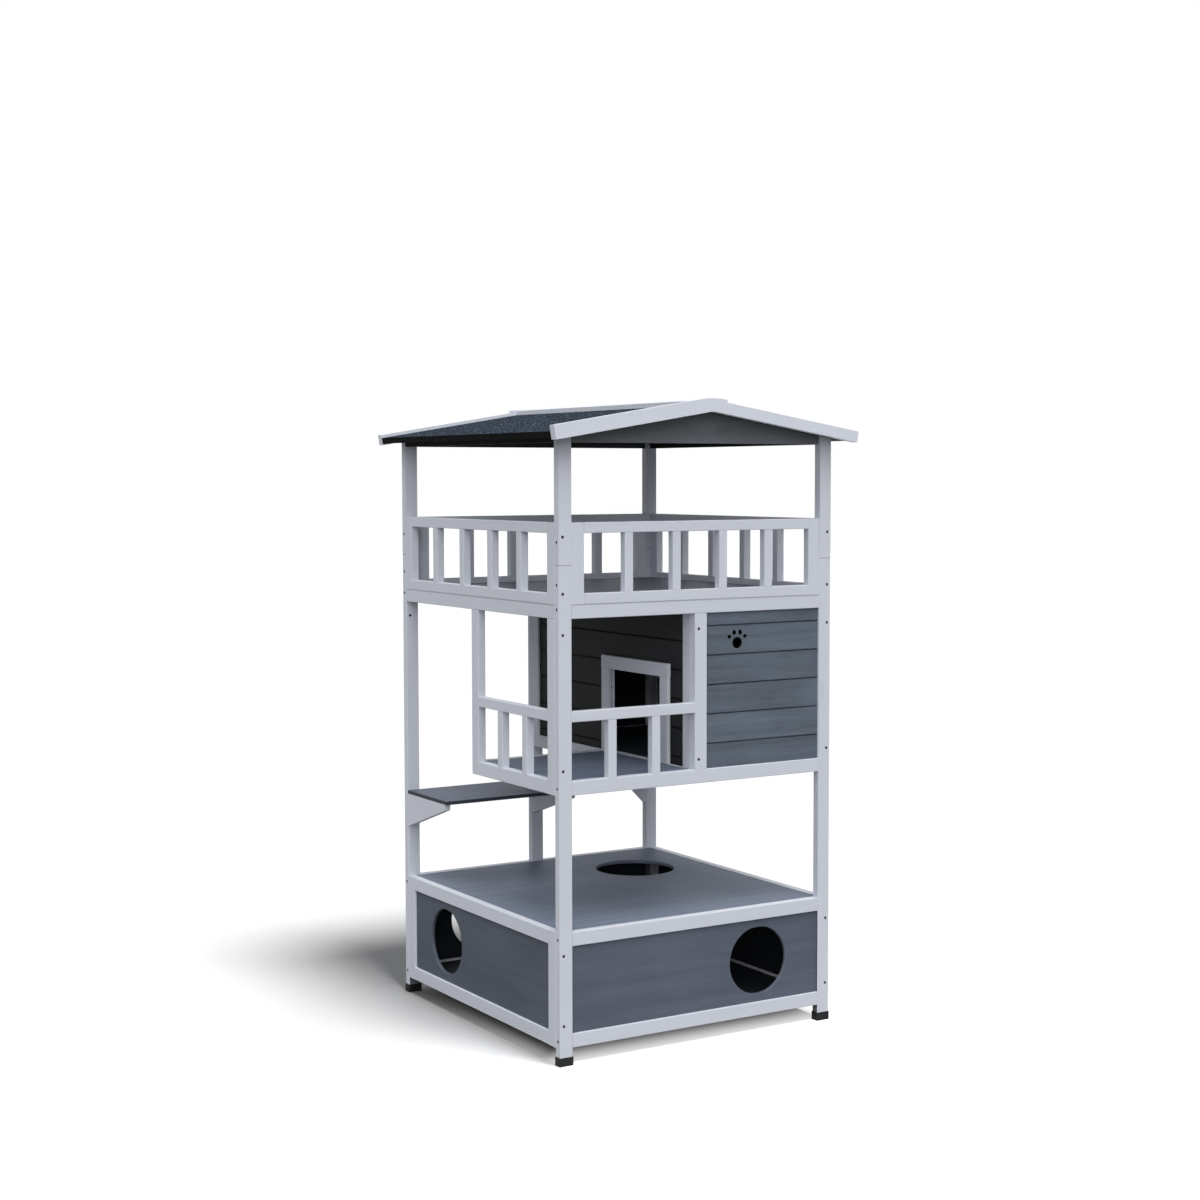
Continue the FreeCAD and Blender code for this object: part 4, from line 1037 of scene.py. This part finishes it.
class CATHOUSE_OT_screws(bpy.types.Operator):
    """Drive the black screws into the posts, one for each CAD screw"""

    bl_idname = "cat_house.screws"
    bl_label = "Drive the screws"

    def execute(self, context):
        small = context.scene.cat_house_sizes
        tree, finish = screw_tree(), steel_finish()
        recess = bpy.data.objects.new("recess", recess_mesh(small))
        for node in ("short_screws", "long_screws"):
            copy, solids = merged_copy(node)
            spots = [screw_spot(solid) for solid in solids]
            copy.free()
            driven = bmesh.new()
            for long in sorted({spot[2] for spot in spots}):
                points = bpy.data.meshes.new(node + "_points")
                alike = [spot for spot in spots if spot[2] == long]
                points.from_pydata([place for place, _, _ in alike], [], [])
                outward = points.attributes.new("outward", "FLOAT_VECTOR", "POINT")
                outward.data.foreach_set("vector", [c for _, way, _ in alike for c in way])
                blank = bpy.data.objects.new(node + "_blank", screw_mesh(node + "_blank", small, long))
                driven.from_mesh(nodes_applied(node + "_alike", points, tree, {
                    "Screw": blank, "Recess": recess, "Seed": small.seed, "Finish": finish}))
                bpy.data.objects.remove(blank)
            new_piece(mesh_of(driven, node + "_driven", finish), "screw_steel", node)
        bpy.data.objects.remove(recess)
        return {"FINISHED"}


def seen_mix(tree, seen, unseen, output):
    """Show one shader to the camera and in gloss, and let another one light the house."""
    path = add(tree, "LightPath")
    looked = sums("MAXIMUM", path["Is Camera Ray"],
                  sums("MAXIMUM", path["Is Glossy Ray"], path["Is Transmission Ray"]))
    mix = join("MixShader", None, looked, unseen[0], seen[0])
    plug(mix[0], tree.nodes.new(output).inputs["Surface"])


def studio_world(stage):
    """Soft light from all round, and a white background."""
    world = bpy.data.worlds.new("studio")
    bpy.context.scene.world = world
    world.use_nodes = True
    tree = world.node_tree
    tree.nodes.clear()
    white = add(tree, "Background", Color=(1, 1, 1, 1), Strength=1.0)
    soft = add(tree, "Background", Color=(0.97, 0.985, 1, 1), Strength=stage.fill)
    seen_mix(tree, white, soft, "ShaderNodeOutputWorld")


def painted_under_light(tree, stage):
    """Painted light on the floor: a glow under the front and left rails that stands in for light coming in
    under them, fading towards the middle of the den.
    """
    place = own_place(tree)
    across, deep = along(place, ACROSS), along(place, DEEP)
    left, right = (corner.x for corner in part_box("base_side_rails"))
    front, back = (corner.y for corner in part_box("base_end_rails"))
    ahead = ramp(deep, front, front + stage.front_reach, stage.front_painted_light, 0)
    aside = ramp(across, left, left + stage.side_reach, stage.side_painted_light, 0)
    glow = sums("MAXIMUM", ahead, aside)
    for within in (ramp(across, left - PAINTED_LIGHT_EDGE, left + PAINTED_LIGHT_EDGE),
                   ramp(across, right - PAINTED_LIGHT_EDGE, right + PAINTED_LIGHT_EDGE, 1, 0),
                   ramp(deep, front, back, 1, 0)):
        glow = sums("MULTIPLY", glow, within)
    return sums("ADD", glow, stage.floor_glow)


def studio_floor(stage):
    """A plain pale floor that keeps the shadow of the house, with painted light under the front and left
    rails.
    """
    half = stage.floor_wide / 2
    mesh = bpy.data.meshes.new("floor")
    corners = [(-half, -half, 0), (half, -half, 0), (half, half, 0), (-half, half, 0)]
    mesh.from_pydata(corners, [], [(0, 1, 2, 3)])
    floor = new_object("floor", mesh)
    material, tree = new_finish("pale_floor")
    tree.nodes.clear()
    pale = add(tree, "BsdfDiffuse", Color=(*[stage.floor_tone] * 3, 1))
    # Emission paints light on the floor under the rails.
    glow = join("Emission", Strength=painted_under_light(tree, stage))
    seen = join("AddShader", None, pale[0], glow[0])
    unseen = add(tree, "BsdfDiffuse", Color=(*[stage.floor_bounce] * 3, 1))
    seen_mix(tree, seen, unseen, "ShaderNodeOutputMaterial")
    mesh.materials.append(material)
    return floor


def soft_lamp(name, stage, floor):
    """A wide soft lamp that lights the whole house alike and not the floor, or only the floor."""
    low = name == "floor_lamp"
    lamp = bpy.data.lights.new(name, "SUN")
    lamp.energy = getattr(stage, name)
    lamp.angle = stage.floor_spread if low else stage.lamp_spread
    holder = new_object(name, lamp)
    shines_from = Vector(getattr(stage, name.replace("lamp", "from")))
    holder.rotation_euler = shines_from.to_track_quat("Z", "Y").to_euler()
    # Seen in gloss, the lamp from behind would turn the decks pale.
    holder.visible_glossy = name != "back_lamp"
    linked = bpy.data.collections.new(name + "_floor")
    linked.objects.link(floor)
    linked.collection_objects[0].light_linking.link_state = "INCLUDE" if low else "EXCLUDE"
    holder.light_linking.receiver_collection = linked


def studio_camera(stage):
    """The camera at the photograph's place and angle."""
    lens = bpy.data.cameras.new("camera")
    lens.sensor_fit = "HORIZONTAL"
    lens.sensor_width = 36
    lens.lens = stage.lens
    camera = new_object("camera", lens)
    aim = Euler((math.pi / 2 - stage.camera_dip, 0, -stage.camera_yaw)).to_matrix()
    camera.rotation_euler = (aim @ Matrix.Rotation(stage.camera_roll, 3, "Z")).to_euler()
    camera.location = stage.camera_place
    bpy.context.scene.camera = camera


class CATHOUSE_OT_stage(bpy.types.Operator):
    """Set up the camera, the soft lamps, the pale floor and the white background"""

    bl_idname = "cat_house.stage"
    bl_label = "Set the stage"

    def execute(self, context):
        stage = context.scene.cat_house_stage
        context.scene.view_settings.view_transform = "Standard"
        studio_world(stage)
        floor = studio_floor(stage)
        for name in ("top_lamp", "front_lamp", "side_lamp", "back_lamp", "floor_lamp"):
            soft_lamp(name, stage, floor)
        studio_camera(stage)
        return {"FINISHED"}


STEPS = (
    CATHOUSE_OT_timber, CATHOUSE_OT_boards, CATHOUSE_OT_holed_boards, CATHOUSE_OT_vent, CATHOUSE_OT_roof,
    CATHOUSE_OT_feet, CATHOUSE_OT_screws, CATHOUSE_OT_stage,
)


class CATHOUSE_PT_panel(bpy.types.Panel):
    """Colours, sizes and steps of the cat house"""

    bl_idname = "CATHOUSE_PT_panel"
    bl_label = "Cat house"
    bl_space_type = "VIEW_3D"
    bl_region_type = "UI"
    bl_category = "Cat house"

    def draw(self, context):
        for step in STEPS:
            self.layout.operator(step.bl_idname)
        for name, group in GROUPS.items():
            box = self.layout.box()
            for key in group.__annotations__:
                box.prop(getattr(context.scene, name), key)


GROUPS = {
    "cat_house_finishes": CatHouseFinishes,
    "cat_house_sizes": CatHouseSizes,
    "cat_house_stage": CatHouseStage,
}
CLASSES = (*GROUPS.values(), *STEPS, CATHOUSE_PT_panel)


def register():
    """Add the classes and the scene's settings."""
    for cls in CLASSES:
        bpy.utils.register_class(cls)
    for name, group in GROUPS.items():
        setattr(bpy.types.Scene, name, PointerProperty(type=group))


def unregister():
    """Take the classes and the scene's settings away."""
    for name in GROUPS:
        delattr(bpy.types.Scene, name)
    for cls in reversed(CLASSES):
        bpy.utils.unregister_class(cls)


def main():
    """Dress the frame and set the stage."""
    register()
    bpy.ops.cat_house.timber()
    bpy.ops.cat_house.boards()
    bpy.ops.cat_house.holed_boards()
    bpy.ops.cat_house.vent()
    bpy.ops.cat_house.roof()
    bpy.ops.cat_house.feet()
    bpy.ops.cat_house.screws()
    bpy.ops.cat_house.stage()


if __name__ == "__main__":
    main()
